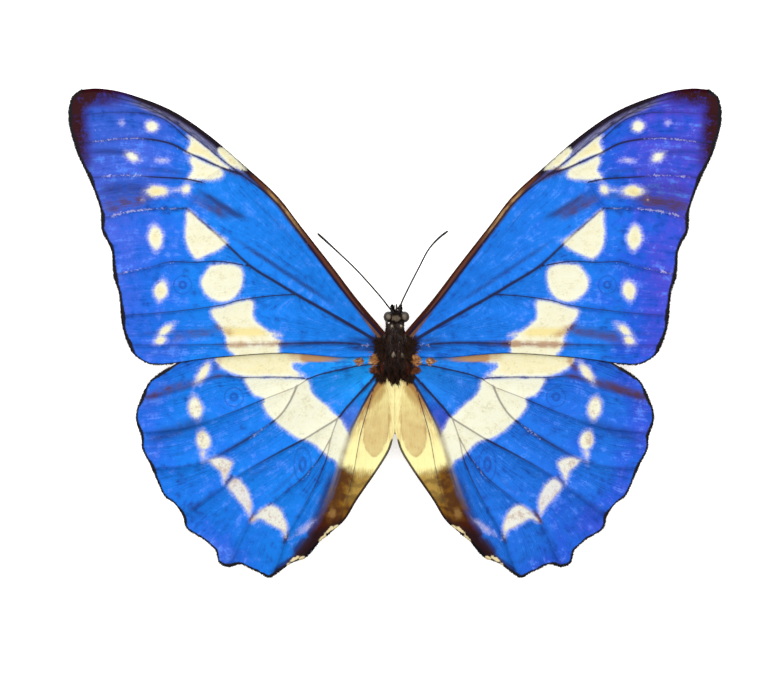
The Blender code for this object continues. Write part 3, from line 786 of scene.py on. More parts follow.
LOBE_RUST, LOBE_GREY, CREASE_SHADE_BROWN = (0.48, 0.26, 0.08), (0.42, 0.34, 0.17), (0.30, 0.16, 0.05)
TAIL_BROWN, TAIL_OCHRE, TAIL_GOLD = (0.080, 0.016, 0.0), (0.24, 0.10, 0.0), (0.38, 0.24, 0.05)
TAIL_RIPPLE, TAIL_END, GILT = (0.045, 0.007, 0.0), (0.045, 0.005, 0.002), (0.34, 0.18, 0.05)
EDGE_SHADE_BROWN, MURK_BROWN, HINGE_BROWN = (0.15, 0.11, 0.06), (0.016, 0.007, 0.010), (0.40, 0.22, 0.10)
SMOKE_DARK, SMOKE_PALE = (0.018, 0.014, 0.040), (0.16, 0.15, 0.22)
COSTA_BLACK, COSTA_BROWN, COSTA_RED = (0.012, 0.008, 0.014), (0.040, 0.010, 0.006), (0.115, 0.040, 0.022)
COSTA_SLATE, COSTA_GOLD, COSTA_SPECK = (0.035, 0.030, 0.075), (0.36, 0.22, 0.085), (0.09, 0.025, 0.018)
TIP_INDIGO, TIP_MAROON = (0.020, 0.010, 0.16), (0.024, 0.001, 0.003)
ROOT_RED, ROOT_ORANGE, ROOT_DARK = (0.07, 0.018, 0.010), (0.28, 0.10, 0.03), (0.010, 0.005, 0.006)
VEIN_BLACK, VEIN_TAN, HEM_BROWN = (0.008, 0.007, 0.03), (0.34, 0.27, 0.20), (0.018, 0.010, 0.008)
SMEAR_BROWN, BAND_BROWN, JET = (0.058, 0.027, 0.075), (0.36, 0.19, 0.10), (0.006, 0.005, 0.008)
TAB_CREAM, UNDER_CREAM = (0.66, 0.56, 0.33), (0.56, 0.49, 0.35)
UNDER_DARK, UNDER_BROWN, UNDER_VEIN = (0.085, 0.05, 0.03), (0.17, 0.11, 0.06), (0.26, 0.17, 0.085)


def wing_grain(tree, place, ray):
    """Noises from about -1 to 1: streaks and wrinkles on the rays, scales, blotches, patches."""

    def cloud(where, scale, detail=3.0):
        return (tree.noise(where, scale, detail, 0.6) - 0.5) * 5.0

    def along_rays(along, across, detail=3.0):
        stretched = tree.add("ShaderNodeMapping", {},
                             {"Vector": ray, "Scale": (along, across, 1.0)})
        return cloud(stretched, 1.0, detail)

    return (along_rays(0.45, 4.5), along_rays(0.10, 1.1, 4.0),
            *(cloud(place, size) for size in (2400.0, 560.0, 130.0)))


def blue_scales(tree, grain, ragged, reach, painted_light_left, is_hindwing):
    """The blue field with its rings, shades and flecks, and painted light: purer azure on the left,
    darker blue on the right hindwing and the left forewing's tip, painted shade beside the veins.
    """
    streaks, wrinkles, scales, blotches, patches = grain
    violet, ring = tree.attribute("violet"), tree.attribute("ring")
    blue = tree.mix((violet * 1.3 + patches * 0.35 + wrinkles * 0.2).step(0.0, 0.95),
                    AZURE, COBALT)
    blue = tree.mix((violet * 0.9 + patches * 0.3 + blotches * 0.22 + wrinkles * 0.15)
                    .step(0.35, 1.15), blue, VIOLET)
    # Painted light: the left wings are brightened to a purer azure, the right hindwing darkened to
    # cobalt, the hindwing roots lightened most on the left, and the left forewing's tip darkened.
    blue = tree.mix(painted_light_left * 0.28, blue, LIT_LEFT_AZURE)
    if is_hindwing:
        blue = tree.mix((1.0 - painted_light_left) * 0.22, blue, SHADED_RIGHT_COBALT)
        blue = tree.mix(reach.step(26.0, 6.0) * (painted_light_left * 0.3 + 0.25), blue, ROOT_AZURE)
    else:
        blue = tree.mix(reach.step(56.0, 72.0) * painted_light_left * 0.4, blue, SHADED_TIP_COBALT)
    # Painted shade: the blue turns deeper within about a millimetre of each raised vein.
    painted_vein_shade = (0.9 - tree.attribute("near_vein")).step(0.0, 0.9)
    light = wrinkles * 0.8 + streaks * 0.4 + blotches * 1.0 + scales * 0.5 + patches * 0.6 \
        - painted_vein_shade * 0.5
    blue = tree.mix(light.step(0.1, 1.9) * 0.7, blue, PALE_BLUE)
    blue = tree.mix((light * -1.0 + scales * 0.3).step(0.1, 2.0) * 0.7, blue, DEEP_BLUE)
    halo = (tree.attribute("cream") + ragged * 1.5).step(-0.75, 0.1)
    blue = tree.mix(halo * 0.36, blue, LILAC_WHITE)
    rings = abs(ring - 1.0).step(0.13, 0.04) * 0.6 + abs(ring - 0.36).step(0.2, 0.08)
    blue = tree.mix(rings * (blotches * 0.2 + 0.5), blue, DEEP_BLUE)
    # Painted shade: the dark blue shades are made stronger on the left.
    shade = tree.attribute("shade") \
        * (1.0 + painted_light_left * 0.25 + streaks * 0.35 + blotches * 0.2)
    blue = tree.mix(shade.step(0.05, 1.2) * 0.85, blue, NAVY)
    flecks = (tree.attribute("fleck") + streaks * 0.45 + scales * 0.5).step(0.75, 1.25)
    return tree.mix(flecks * 0.65, blue, LILAC_WHITE)


def cream_scales(tree, grain, reach, is_hindwing):
    """The band and spots: yellow where warm, lilac where cold, mottled with tan and grey."""
    streaks, wrinkles, scales, blotches, _ = grain
    warmth = tree.attribute("warmth")
    core = tree.attribute("cream").step(0.1, 1.1)
    warm = warmth * 0.45 + core * (warmth * 0.5 + 0.26) + blotches * 0.12
    cream = tree.mix(warm.step(0.0, 1.05), CREAM_WHITE, CREAM_YELLOW)
    cream = tree.mix((warmth * -1.0).step(0.0, 0.8), cream, LILAC_WHITE)
    cream = tree.mix((wrinkles + scales * 0.7).step(0.4, 1.8) * 0.4, cream, TAN)
    cream = tree.mix((blotches * 0.7 + scales * 0.8 + streaks * 0.3).step(0.0, 1.6) * 0.55,
                     cream, CREAM_GREY)
    if is_hindwing:
        cream = tree.mix((blotches + scales * 0.8).step(-0.5, 1.2) * reach.step(36.0, 41.0)
                         * 0.75, cream, CRESCENT_TAN)
    return cream


def downy_margin(tree, grain, place, rearward):
    """A hindwing's inner margin in front: cream down, rust at the root and a tan lobe with painted shade
    along its crease.
    """
    streaks, wrinkles, scales, blotches, _ = grain
    inner, lobe = tree.attribute("inner"), tree.attribute("lobe")
    downy = tree.mix((streaks * 0.6 + wrinkles * 0.5 + blotches * 0.3).step(-0.8, 1.3),
                     DOWN_CREAM, DOWN_OCHRE)
    downy = tree.mix(rearward.step(20.0, 23.5) * 0.7, downy, DOWN_LIGHT)
    sideways = abs(tree.part(place, "X")) * 1000.0
    rust = (inner - rearward.step(17.0, 10.0) * 1.5).step(2.8, 0.6) \
        * rearward.step(23.0, 11.0) * (sideways + streaks * 0.3).step(1.2, 2.6)
    downy = tree.mix((rust + streaks * 0.2 + blotches * 0.1).step(0.1, 0.9), downy, DOWN_RUST)
    on_lobe = (lobe + scales * 0.06 + streaks * 0.06).step(-0.2, 0.25)
    tanned = tree.mix((rearward + streaks * 3.0 + blotches * 1.5).step(12.0, 19.0),
                      LOBE_OCHRE, LOBE_TAN)
    tanned = tree.mix((blotches + streaks * 0.6 + wrinkles).step(0.3, 1.7) * 0.7, tanned,
                      LOBE_RUST)
    tanned = tree.mix((blotches + streaks).step(0.3, 1.6) * 0.5, tanned, LOBE_GREY)
    downy = tree.mix(on_lobe * (blotches * 0.1 + 0.8) * (rearward.step(11.0, 18.0) * 0.5 + 0.5),
                     downy, tanned)
    # Painted shade: a broken brown line along the crease round the lobe.
    crease_shade = abs(lobe - 0.05).step(0.35, 0.05) * (streaks * 0.4 + blotches * 0.5).step(-0.7, 0.7)
    return tree.mix(crease_shade * rearward.step(11.0, 16.0) * 0.6, downy, CREASE_SHADE_BROWN)


def brown_tail(tree, grain, place, rearward, gilt):
    """A hindwing's inner margin behind: marbled browns, gilt at the rim."""
    _, _, scales, blotches, patches = grain
    inner = tree.attribute("inner")
    waves = tree.add("ShaderNodeTexWave", {"wave_type": "RINGS"},
                     {"Vector": place, "Scale": 120.0, "Distortion": 9.0, "Detail": 2.0,
                      "Detail Scale": 2.0}, "Fac")
    browns = tree.mix((waves * 0.3 + blotches * 0.45 + patches * 0.2 + inner * 0.2)
                      .step(0.2, 1.6), TAIL_BROWN, TAIL_OCHRE)
    browns = tree.mix((inner + blotches * 0.4).step(2.3, 3.9) * rearward.step(35.5, 31.5) * 0.9,
                      browns, TAIL_GOLD)
    browns = tree.mix((waves + scales * 0.3 + blotches * 0.6).step(0.9, -0.1) * 0.4, browns,
                      TAIL_RIPPLE)
    browns = tree.mix(gilt * 0.6, browns, GILT)
    dark = (rearward + blotches * 1.4 - waves * 1.4 - inner * 0.5).step(31.5, 38.5)
    return browns, dark * (0.85 - gilt * 0.7)


def inner_margin(tree, grain, place, colour, shine):
    """Paint a hindwing's inner margin and the hinge strip; also say where it is brown."""
    streaks, _, _, blotches, _ = grain
    inner = tree.attribute("inner")
    rearward = tree.part(place, "Y") * -1000.0
    softness = rearward.step(17.0, 22.0) * 0.6 + 0.3
    is_inner = (inner + streaks * 0.12 + blotches * 0.12).step(softness * -1.0, softness)
    downy = downy_margin(tree, grain, place, rearward)
    is_brown = (rearward + streaks * 0.4 + blotches * 0.4 - inner * 0.4).step(25.2, 27.6)
    gilt = (tree.attribute("fleck") + blotches * 0.2).step(0.1, 1.1)
    browns, dark = brown_tail(tree, grain, place, rearward, gilt)
    downy = tree.mix(is_brown * 0.97, downy, browns)
    downy = tree.mix(dark, downy, TAIL_END)
    colour = tree.mix(is_inner, colour, downy)
    # Painted shade: a grey-brown band along the edge of the down, from 15 to 38 mm behind the root.
    painted_edge_shade = abs(inner + 0.1).step(1.0, 0.1) * rearward.step(15.0, 19.0) * rearward.step(38.0, 30.0)
    colour = tree.mix(painted_edge_shade * (blotches * 0.15 + 0.45), colour, EDGE_SHADE_BROWN)
    murk = (rearward + inner * 0.6 + blotches * 0.5).step(38.6, 41.4) \
        * (inner - 0.1).step(-1.2, 0.0)
    colour = tree.mix(murk * 0.85, colour, MURK_BROWN)
    is_hinge = (tree.attribute("golden") + streaks * 0.2).step(0.2, 0.9)
    colour = tree.mix(is_hinge, colour, HINGE_BROWN)
    return colour, shine * (1 - is_inner) * (1 - is_hinge), is_inner * is_brown


def leading_edge(tree, grain, colour, shine, is_cream, cream):
    """Paint a forewing's leading edge and dark tip; also say where the edge is brown."""
    streaks, wrinkles, scales, blotches, _ = grain
    smoke = tree.mix((streaks + wrinkles * 0.5).step(-0.9, 0.9), SMOKE_DARK, SMOKE_PALE)
    colour = tree.mix((tree.attribute("smoke") * 1.3 + streaks * 0.12).step(0.05, 1.0)
                      * (1.0 - is_cream) * 0.9, colour, smoke)
    is_costa = (tree.attribute("costa") + streaks * 0.05 + scales * 0.06).step(-0.35, 0.4)
    gap = tree.attribute("costa_gap") + streaks * 0.08
    brown = tree.attribute("brown")
    strip = tree.mix(brown, COSTA_BLACK, COSTA_BROWN)
    strip = tree.mix(brown * gap.step(0.15, 0.4) * (gap * -1.0 + streaks * 0.2).step(-0.9, -0.4),
                     strip, COSTA_RED)
    strip = tree.mix(gap.step(0.55, 0.95), strip, COSTA_SLATE)
    strip = tree.mix(gap.step(0.15, 0.4) * gap.step(0.95, 0.7) * tree.attribute("golden")
                     * (streaks + blotches * 0.5).step(-1.2, 0.8), strip, COSTA_GOLD)
    strip = tree.mix((blotches + scales).step(0.4, 1.6) * 0.4, strip, COSTA_SPECK)
    strip = tree.mix(is_cream * 0.9, strip, cream)
    colour = tree.mix(is_costa, colour, strip)
    apex = tree.attribute("apex")
    colour = tree.mix(apex.step(0.0, 0.45) * 0.6 * (1.0 - is_cream), colour, TIP_INDIGO)
    is_apex = (apex * (1.0 + scales * 0.35 + blotches * 0.35)).step(0.10, 0.85)
    colour = tree.mix(is_apex, colour, TIP_MAROON)
    return colour, shine * (1 - is_costa) * (1 - is_apex * 0.7), is_costa * (1 - is_cream)


def roots_and_veins(tree, grain, reach, colour, is_cream, is_hindwing):
    """Paint the dark and ginger roots and the veins, which pale outwards and under flecks."""
    streaks, _, _, blotches, _ = grain
    vein = tree.attribute("vein")
    colour = tree.mix((tree.attribute("russet") + blotches * 0.2).step(0.2, 0.6), colour, ROOT_RED)
    colour = tree.mix((tree.attribute("ginger") + blotches * 0.2).step(0.25, 0.65), colour,
                      ROOT_ORANGE)
    colour = tree.mix((tree.attribute("black") + streaks * 0.15).step(0.1, 0.7), colour, ROOT_DARK)
    is_vein = (vein * (1.0 + streaks * 0.15)).step(0.04, 0.6)
    is_vein = is_vein * (1.0 - tree.attribute("fleck").step(0.3, 1.0) * 0.65)
    if is_hindwing:
        is_vein = is_vein * (1.0 - reach.step(29.0, 45.0) * 0.72)
    line = tree.mix(is_cream * vein.step(0.75, 0.3) * 0.8, VEIN_BLACK, VEIN_TAN)
    return tree.mix(is_vein * (0.92 - is_cream * 0.3), colour, line), is_vein


def wing_material(name, is_hindwing):
    """The scales of one kind of wing, painted layer over layer on the stored marks."""
    material, tree, surface = new_material(name)
    place, ray = object_places(tree), tree.attribute("ray", "Vector")
    # The left-side mask carries painted light: purer blue, darker shades and a darker tip on the left
    # wings.
    reach, painted_light_left = tree.part(ray, "X"), tree.part(place, "X").step(0.002, -0.006)
    grain = wing_grain(tree, place, ray)
    streaks, wrinkles, scales, blotches, _ = grain
    ragged = streaks * 0.1 + scales * 0.12 + blotches * 0.12
    smear = tree.attribute("smear")
    is_cream = (tree.attribute("cream") + ragged * (smear * 1.5 + 1.0) - 0.12).step(-0.28, 0.34)
    cream = cream_scales(tree, grain, reach, is_hindwing)
    colour = tree.mix(is_cream, blue_scales(tree, grain, ragged, reach, painted_light_left, is_hindwing),
                      cream)
    # Painted light: the brown smears are weakened on the left, where the blue is painted brighter.
    smear = (smear * (1.0 + streaks * 0.3 + blotches * 0.35 - painted_light_left * 0.3)).step(0.05, 1.0)
    colour = tree.mix(smear * (1.0 - is_cream * 0.15), colour,
                      tree.mix(is_cream, SMEAR_BROWN, BAND_BROWN))
    if is_hindwing:
        colour, shine, bronze = inner_margin(tree, grain, place, colour, 1 - is_cream)
    else:
        colour, shine, bronze = leading_edge(tree, grain, colour, 1 - is_cream, is_cream, cream)
    colour, is_vein = roots_and_veins(tree, grain, reach, colour, is_cream, is_hindwing)

    # black border, thicker at the vein ends, with cream tabs at the hindwing's tail
    width = 0.0 if is_hindwing else 0.16
    thick = tree.attribute("near_vein").step(2.4, 0.3) * 0.28 - 0.05
    border = (tree.attribute("margin") - thick + (scales + blotches) * 0.09) \
        .step(0.46 + width, 0.2 + width)
    is_tab = (tree.attribute("tab") + scales * 0.12 + blotches * 0.2).step(0.25, 0.7)
    border = border * (1.0 - is_tab)
    colour = tree.mix(border, colour, JET)
    colour = tree.mix((tree.attribute("hem") + scales * 0.1).step(0.1, 0.8) * 0.92, colour,
                      HEM_BROWN)
    colour = tree.mix(is_tab, colour, TAB_CREAM)
    shine = shine * (1 - border) * (1 - smear * 0.7) * (1 - is_vein * 0.8) * (1 - is_tab)

    below = tree.mix(streaks.step(-1.0, 1.0), UNDER_DARK, UNDER_BROWN)
    below = tree.mix(is_cream * 0.8, below, UNDER_CREAM)
    below = tree.mix(tree.attribute("vein") * 0.7, below, UNDER_VEIN)
    upper = tree.attribute("upper")
    colour = tree.mix(upper, below, colour)
    shine = (shine + bronze * 1.6) * upper

    relief = wrinkles * 0.5 + streaks * 0.25 + scales * 0.15
    finish_surface(
        tree, surface, Base_Color=colour, Metallic=shine * 0.5,
        Roughness=0.7 - shine * 0.26 + bronze * 0.4 + scales * 0.02, Specular_IOR_Level=0.12,
        Normal=tree.add("ShaderNodeBump", {}, {"Strength": 0.35, "Distance": 0.00012,
                                               "Height": relief}))
    return material


for wing, kind in ((FOREWING, "forewing"), (HINDWING, "hindwing")):
    wing["plan"] = wing_plan(wing)
    wing["fields"] = wing_fields(wing["plan"][0], wing, wing["plan"][2])
    scales_material = wing_material(kind + "_scales", kind == "hindwing")
    for side_name, side in SIDES:
        piece = add_wing(f"{kind}_{side_name}_membrane", wing, side, scales_material)
        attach(piece, "root")
        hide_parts(f"{kind}_{side_name}")

# ------------------------------------------------------------------ skin of the body
# Head with its two upturned palps, thorax and abdomen under one hard skin of dark chitin:
# collar pads behind the head, a domed back, six leg sockets below and seven abdomen rings.

BODY_SHIFT = 0.3                        # the head stands a little to the right
HEAD_SKIN = [(4.45, 0.45, 6.9, 7.8), (4.1, 0.95, 6.4, 8.5), (3.5, 1.2, 6.05, 9.0),
             (2.9, 1.25, 6.0, 9.2), (2.2, 1.25, 6.3, 8.9), (1.8, 1.2, 6.5, 8.5),
             (1.2, 1.2, 6.4, 8.4)]
THORAX_SKIN = [(1.9, 1.1, 6.6, 8.4), (1.1, 1.6, 6.1, 9.2), (-0.6, 2.1, 5.1, 10.3),
               (-2.8, 2.6, 4.4, 11.0), (-5.0, 2.9, 4.2, 11.1), (-7.2, 2.8, 4.4, 10.5),
               (-9.0, 2.2, 4.95, 9.4), (-10.1, 1.2, 5.5, 8.0)]
ABDOMEN_SKIN = [(-8.6, 0.9, 5.3, 7.2), (-10.6, 1.6, 4.8, 7.7), (-12.5, 1.9, 4.2, 7.8),
                (-15.0, 1.9, 3.9, 7.5), (-17.5, 1.6, 3.7, 6.9), (-19.2, 1.15, 3.75, 6.25),
                (-20.2, 0.5, 4.05, 5.5)]
RING_LENGTH = 1.55                      # of one abdomen ring
PALP_PATH = [(0.7, 3.9, 6.4, 0.27), (0.72, 4.85, 6.12, 0.3), (0.75, 5.35, 6.85, 0.27),
             (0.72, 5.45, 7.5, 0.14)]
PADS = [                                # centre, radii; mirrored to the other side
    ((0.95, 1.25, 8.6), (0.8, 0.7, 0.55)),          # collar
    ((2.15, -1.5, 9.95), (0.6, 1.35, 0.45)),        # cap over the forewing's root
    ((1.0, -3.0, 10.6), (0.95, 2.6, 0.45)),         # back plate
    ((1.9, -6.6, 9.6), (0.8, 1.5, 0.6)),            # side of the rear plate
    ((0.9, -1.5, 5.4), (0.6, 0.8, 0.8)),            # leg sockets
    ((1.1, -3.5, 5.0), (0.75, 0.9, 0.9)),
    ((1.1, -6.5, 4.95), (0.75, 0.95, 0.85)),
]
SKIN_GRAIN = 0.13                       # spacing of the skin's points
LOFT_SIDES, LIMB_SIDES = 40, 12
EYE_CENTRES = [(BODY_SHIFT + side * 1.6, 3.25, 7.75) for _, side in SIDES]
EYE_RADII = (1.02, 1.12, 1.42)


def joined(parts):
    """One list of vertices and faces from several."""
    vertices, faces, first = [], [], 0
    for part_vertices, part_faces in parts:
        vertices.extend(part_vertices)
        faces.extend(tuple(i + first for i in face) for face in part_faces)
        first += len(part_vertices)
    return vertices, faces


def rings_between(rings, first_pole, last_pole):
    """A closed skin over rings of equal size, running on to a pole at each end."""
    sides = len(rings[0])
    vertices = [tuple(p) for ring in rings for p in ring] + [first_pole, last_pole]
    faces = []
    for r in range(len(rings) - 1):
        for k in range(sides):
            a, b = r * sides + k, r * sides + (k + 1) % sides
            faces.append((a, b, b + sides, a + sides))
    top, end = len(vertices) - 2, (len(rings) - 1) * sides
    faces += [(top, (k + 1) % sides, k) for k in range(sides)]
    faces += [(top + 1, end + k, end + (k + 1) % sides) for k in range(sides)]
    return vertices, faces


def loft(sections, shift=0.0, ring_length=0.0):
    """A rounded body through (Y, half width, low, high) sections, front to rear."""
    rings = []
    for y, half, low, high in whole_run(sections, 8):
        if ring_length:
            half *= 1 + 0.045 * abs(math.sin(math.pi * y / ring_length))
        middle, tall = (low + high) / 2, (high - low) / 2
        rings.append([(shift + half * math.cos(t), y, middle + tall * math.sin(t))
                      for t in (2 * math.pi * k / LOFT_SIDES for k in range(LOFT_SIDES))])
    poles = [(shift, s[0] + way * 0.3 * s[1], (s[2] + s[3]) / 2)
             for s, way in ((sections[0], 1), (sections[-1], -1))]
    return rings_between(rings, *poles)


def limb(path, side=1, shift=0.0, sides=LIMB_SIDES, steps=5):
    """A round limb through (outwards, Y, Z, radius) points, on the right (1) or left (-1)."""
    run = whole_run(path, steps)
    points = [Vector(p[:3]) for p in run]
    rings, level = [], Vector((1, 0, 0))
    for i, point in enumerate(points):
        along = (points[min(i + 1, len(points) - 1)] - points[max(i - 1, 0)]).normalized()
        level = (level - along * level.dot(along)).normalized()
        across = along.cross(level)
        rings.append([point + float(run[i][3]) * (math.cos(t) * level + math.sin(t) * across)
                      for t in (2 * math.pi * k / sides for k in range(sides))])
    first = points[0] + (points[0] - points[1]).normalized() * float(run[0][3]) * 0.5
    last = points[-1] + (points[-1] - points[-2]).normalized() * float(run[-1][3]) * 0.5
    vertices, faces = rings_between(rings, tuple(first), tuple(last))
    vertices = [(shift + side * x, y, z) for x, y, z in vertices]
    faces = [face[::-side] for face in faces]
    return vertices, faces


def ball(centre, radii, sides=24):
    """An ellipsoid with its poles fore and aft."""
    rings = []
    for i in range(1, sides // 2):
        turn = math.pi * i / (sides // 2)
        rings.append([(centre[0] + radii[0] * math.sin(turn) * math.cos(t),
                       centre[1] + radii[1] * math.cos(turn),
                       centre[2] + radii[2] * math.sin(turn) * math.sin(t))
                      for t in (2 * math.pi * k / sides for k in range(sides))])
    poles = [(centre[0], centre[1] + way * radii[1], centre[2]) for way in (1, -1)]
    return rings_between(rings, *poles)


def plain_copy(source, name):
    """A plain mesh object with the source's modifiers worked in; the source is removed."""
    evaluated = source.evaluated_get(bpy.context.evaluated_depsgraph_get())
    mesh = bpy.data.meshes.new_from_object(evaluated)
    bpy.data.objects.remove(source)
    mesh.name = name
    made = bpy.data.objects.new(name, mesh)
    bpy.context.scene.collection.objects.link(made)
    return made


def vertex_places(mesh):
    """Vertices and their normals as arrays, in millimetres."""
    places, normals = (np.empty(len(mesh.vertices) * 3) for _ in range(2))
    mesh.vertices.foreach_get("co", places)
    mesh.vertices.foreach_get("normal", normals)
    return places.reshape(-1, 3) / MM, normals.reshape(-1, 3)


def ball_distance(places, centre, radii):
    """Distance from an ellipsoid's centre, in its own radii."""
    return np.sqrt((((places - centre) / radii) ** 2).sum(axis=1))


def blob(places, centre, radii):
    """1 at a centre, fading to 0 at its radii."""
    return soft(ball_distance(places, centre, radii), 1.0, 0.6)


DARK_BROWN, SOOT, BUFF = (0.055, 0.022, 0.012), (0.003, 0.002, 0.002), (0.40, 0.34, 0.24)
RED_BROWN, GREY_BROWN = (0.11, 0.020, 0.008), (0.17, 0.13, 0.09)


def body_colour(tree, spread):
    """Markings shared by the skin and the fur on it; spread shifts from dark to light."""
    colour = tree.mix((spread + tree.attribute("banded") * 0.9).step(0.5, 1.7), SOOT, DARK_BROWN)
    for mark, tint in (("ginger", RED_BROWN), ("grey", GREY_BROWN), ("buff", BUFF)):
        colour = tree.mix(tree.attribute(mark), colour, tint)
    return colour


skin_material, tree, surface = new_material("body_skin")
place = object_places(tree)
mottle = tree.noise(place, 1800.0, 3.0, 0.6)
pores = tree.add("ShaderNodeTexVoronoi", {}, {"Vector": place, "Scale": 9000.0}, "Distance")
finish_surface(tree, surface, Base_Color=body_colour(tree, mottle.step(0.3, 0.7)),
               Roughness=0.5 + mottle * 0.2,
               Normal=tree.add("ShaderNodeBump", {}, {"Strength": 0.4, "Distance": 0.00004,
                                                      "Height": pores + mottle}))
parts = [loft(HEAD_SKIN, BODY_SHIFT), loft(THORAX_SKIN),
         loft(ABDOMEN_SKIN, ring_length=RING_LENGTH)]
for side in (-1, 1):
    parts.append(limb(PALP_PATH, side, BODY_SHIFT))
    parts += [ball((side * c[0], c[1], c[2]), r) for c, r in PADS]
rough_body = mesh_object("rough_body", *joined(parts), skin_material)
fused = rough_body.modifiers.new("fused", "REMESH")
fused.mode, fused.voxel_size, fused.use_smooth_shade = "VOXEL", SKIN_GRAIN * MM, True
eased = rough_body.modifiers.new("eased", "SMOOTH")
eased.factor, eased.iterations = 0.5, 4
body = plain_copy(rough_body, "body_skin")

at, out = vertex_places(body.data)
px, py, pz = at.T
middle = px - BODY_SHIFT * soft(py, 0.5, 2.0)
is_head, is_abdomen = soft(py, 1.9, 2.3), soft(py, -9.6, -10.4)
is_palp = soft(py, 4.5, 4.8)
eye_gap = np.minimum(*(ball_distance(at, centre, EYE_RADII) for centre in EYE_CENTRES))
# Grey-brown scales on the crown. The blob left of centre is a painted highlight.
grey = 0.9 * np.maximum(blob(at, (0.3, 3.1, 9.2), (0.95, 0.7, 0.9)),
                        blob(at, (-0.7, 3.2, 9.0), (0.7, 0.6, 0.9)))
buff = 0.85 * np.maximum.reduce([blob(at, (side * 0.9 + 0.3, 1.45, 8.9), (0.3, 0.3, 0.7))
                                 for side in (-1, 1)]
                                + [blob(at, (-0.33, -4.07, 11.2), (0.45, 0.42, 0.7)),
                                   blob(at, (1.4, -4.2, 10.8), (0.4, 0.4, 0.8)) * 0.5])
bands = 0.4 + 0.3 * np.cos(px * 4.6 + 0.8 * np.sin(py * 1.9)) * np.cos(py * 0.9 + 0.5) \
    * soft(py, -9.5, -8.0)
ginger = 0.8 * soft(np.abs(px), 1.9, 2.7) * soft(py, -5.2, -6.4) * soft(pz, 7.0, 8.5)
under = soft(pz, 6.3, 5.2)
store(body.data, "grey", np.clip(grey + 0.30 * under, 0, 1))
store(body.data, "banded", bands * (1 - is_head))
store(body.data, "buff", np.clip(buff + 0.55 * is_abdomen * under, 0, 1))
store(body.data, "ginger", np.clip(ginger + 0.3 * is_abdomen, 0, 1))
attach(body, "root")
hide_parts("head", "thorax", "abdomen", "palp_left", "palp_right")

# ------------------------------------------------------------------ fur of the body
# Hair-like scales rooted in the skin: short on the face and abdomen, longer and shaggy on
# the thorax, where they end in a ragged fringe over the abdomen's first ring.

PATCH_SIZE = 0.003                      # of one tuft on the bake map


def growth_tree(name, on_edges):
    """Geometry nodes that grow tufts from faces, or along loose edges.

    The ground carries the attributes lie, reach, girth, cover and root_uv.
    """
    group = bpy.data.node_groups.new(name, "GeometryNodeTree")
    for label, kind in (("Ground", "Geometry"), ("Tuft", "Object"), ("Spacing", "Float"),
                        ("Lift", "Float"), ("Scatter", "Float"), ("Seed", "Int"),
                        ("Coat", "Material")):
        group.interface.new_socket(label, in_out="INPUT", socket_type="NodeSocket" + kind)
    group.interface.new_socket("Grown", in_out="OUTPUT", socket_type="NodeSocketGeometry")
    tree = Tree(group)
    given = group.nodes.new("NodeGroupInput")
    want = {s.name: Wire(group, s) for s in given.outputs if s.name}

    def named(label, kind="FLOAT"):
        return tree.add("GeometryNodeInputNamedAttribute", {"data_type": kind},
                        {"Name": label}, "Attribute")

    def added(first, second):
        return tree.add("ShaderNodeVectorMath", {"operation": "ADD"}, {0: first, 1: second})

    def scaled(vector, factor):
        return tree.add("ShaderNodeVectorMath", {"operation": "SCALE"},
                        {0: vector, "Scale": factor})

    if on_edges:
        curve = tree.add("GeometryNodeMeshToCurve", {}, {"Mesh": want["Ground"]})
        points = tree.add("GeometryNodeResampleCurve", {"mode": "LENGTH"},
                          {"Curve": curve, "Length": want["Spacing"]})
        upward = tree.add("ShaderNodeCombineXYZ", {}, {"Z": 1.0})
    else:
        bare = named("cover").math("LESS_THAN", 0.01)
        kept = tree.add("GeometryNodeDeleteGeometry", {"domain": "FACE"},
                        {"Geometry": want["Ground"], "Selection": bare})
        scattered = group.nodes.new("GeometryNodeDistributePointsOnFaces")
        scattered.distribute_method = "POISSON"
        for label, value in (("Mesh", kept), ("Distance Min", want["Spacing"]),
                             ("Density Max", 1e9), ("Density Factor", named("cover")),
                             ("Seed", want["Seed"])):
            plug(group, scattered.inputs[label], value)
        points, upward = (Wire(group, scattered.outputs[k]) for k in ("Points", "Normal"))
    chance = tree.add("FunctionNodeRandomValue", {"data_type": "FLOAT_VECTOR"},
                      {"Min": (-1.0, -1.0, -1.0), "Max": (1.0, 1.0, 1.0),
                       "Seed": want["Seed"]}, "Value")
    tint = tree.add("FunctionNodeRandomValue", {"data_type": "FLOAT"},
                    {"Seed": want["Seed"]}, "Value_001")
    points = tree.add("GeometryNodeStoreNamedAttribute",
                      {"data_type": "FLOAT", "domain": "POINT"},
                      {"Geometry": points, "Name": "tint", "Value": tint})
    way = added(named("lie", "FLOAT_VECTOR"), scaled(upward, want["Lift"]))
    way = added(way, scaled(chance, want["Scatter"]))
    turned = tree.add("FunctionNodeAlignRotationToVector", {"axis": "Z"}, {"Vector": way})
    turned = tree.add("FunctionNodeAlignRotationToVector", {"axis": "X", "pivot_axis": "Z"},
                      {"Rotation": turned, "Vector": upward})
    length = named("reach") * (named("tint") * 0.5 + 0.7)
    width = length * named("girth")
    size = tree.add("ShaderNodeCombineXYZ", {}, {"X": width, "Y": width, "Z": length})
    tuft = tree.add("GeometryNodeObjectInfo", {}, {"Object": want["Tuft"]}, "Geometry")
    grown = tree.add("GeometryNodeInstanceOnPoints", {},
                     {"Points": points, "Instance": tuft, "Rotation": turned, "Scale": size})
    grown = tree.add("GeometryNodeRealizeInstances", {}, {"Geometry": grown})
    patch = scaled(named("patch", "FLOAT_VECTOR"), PATCH_SIZE)
    grown = tree.add("GeometryNodeStoreNamedAttribute",
                     {"data_type": "FLOAT2", "domain": "CORNER"},
                     {"Geometry": grown, "Name": "OFBake",
                      "Value": added(named("root_uv", "FLOAT_VECTOR"), patch)})
    grown = tree.add("GeometryNodeSetMaterial", {},
                     {"Geometry": grown, "Material": want["Coat"]})
    plug(group, group.nodes.new("NodeGroupOutput").inputs["Grown"], grown)
    return group


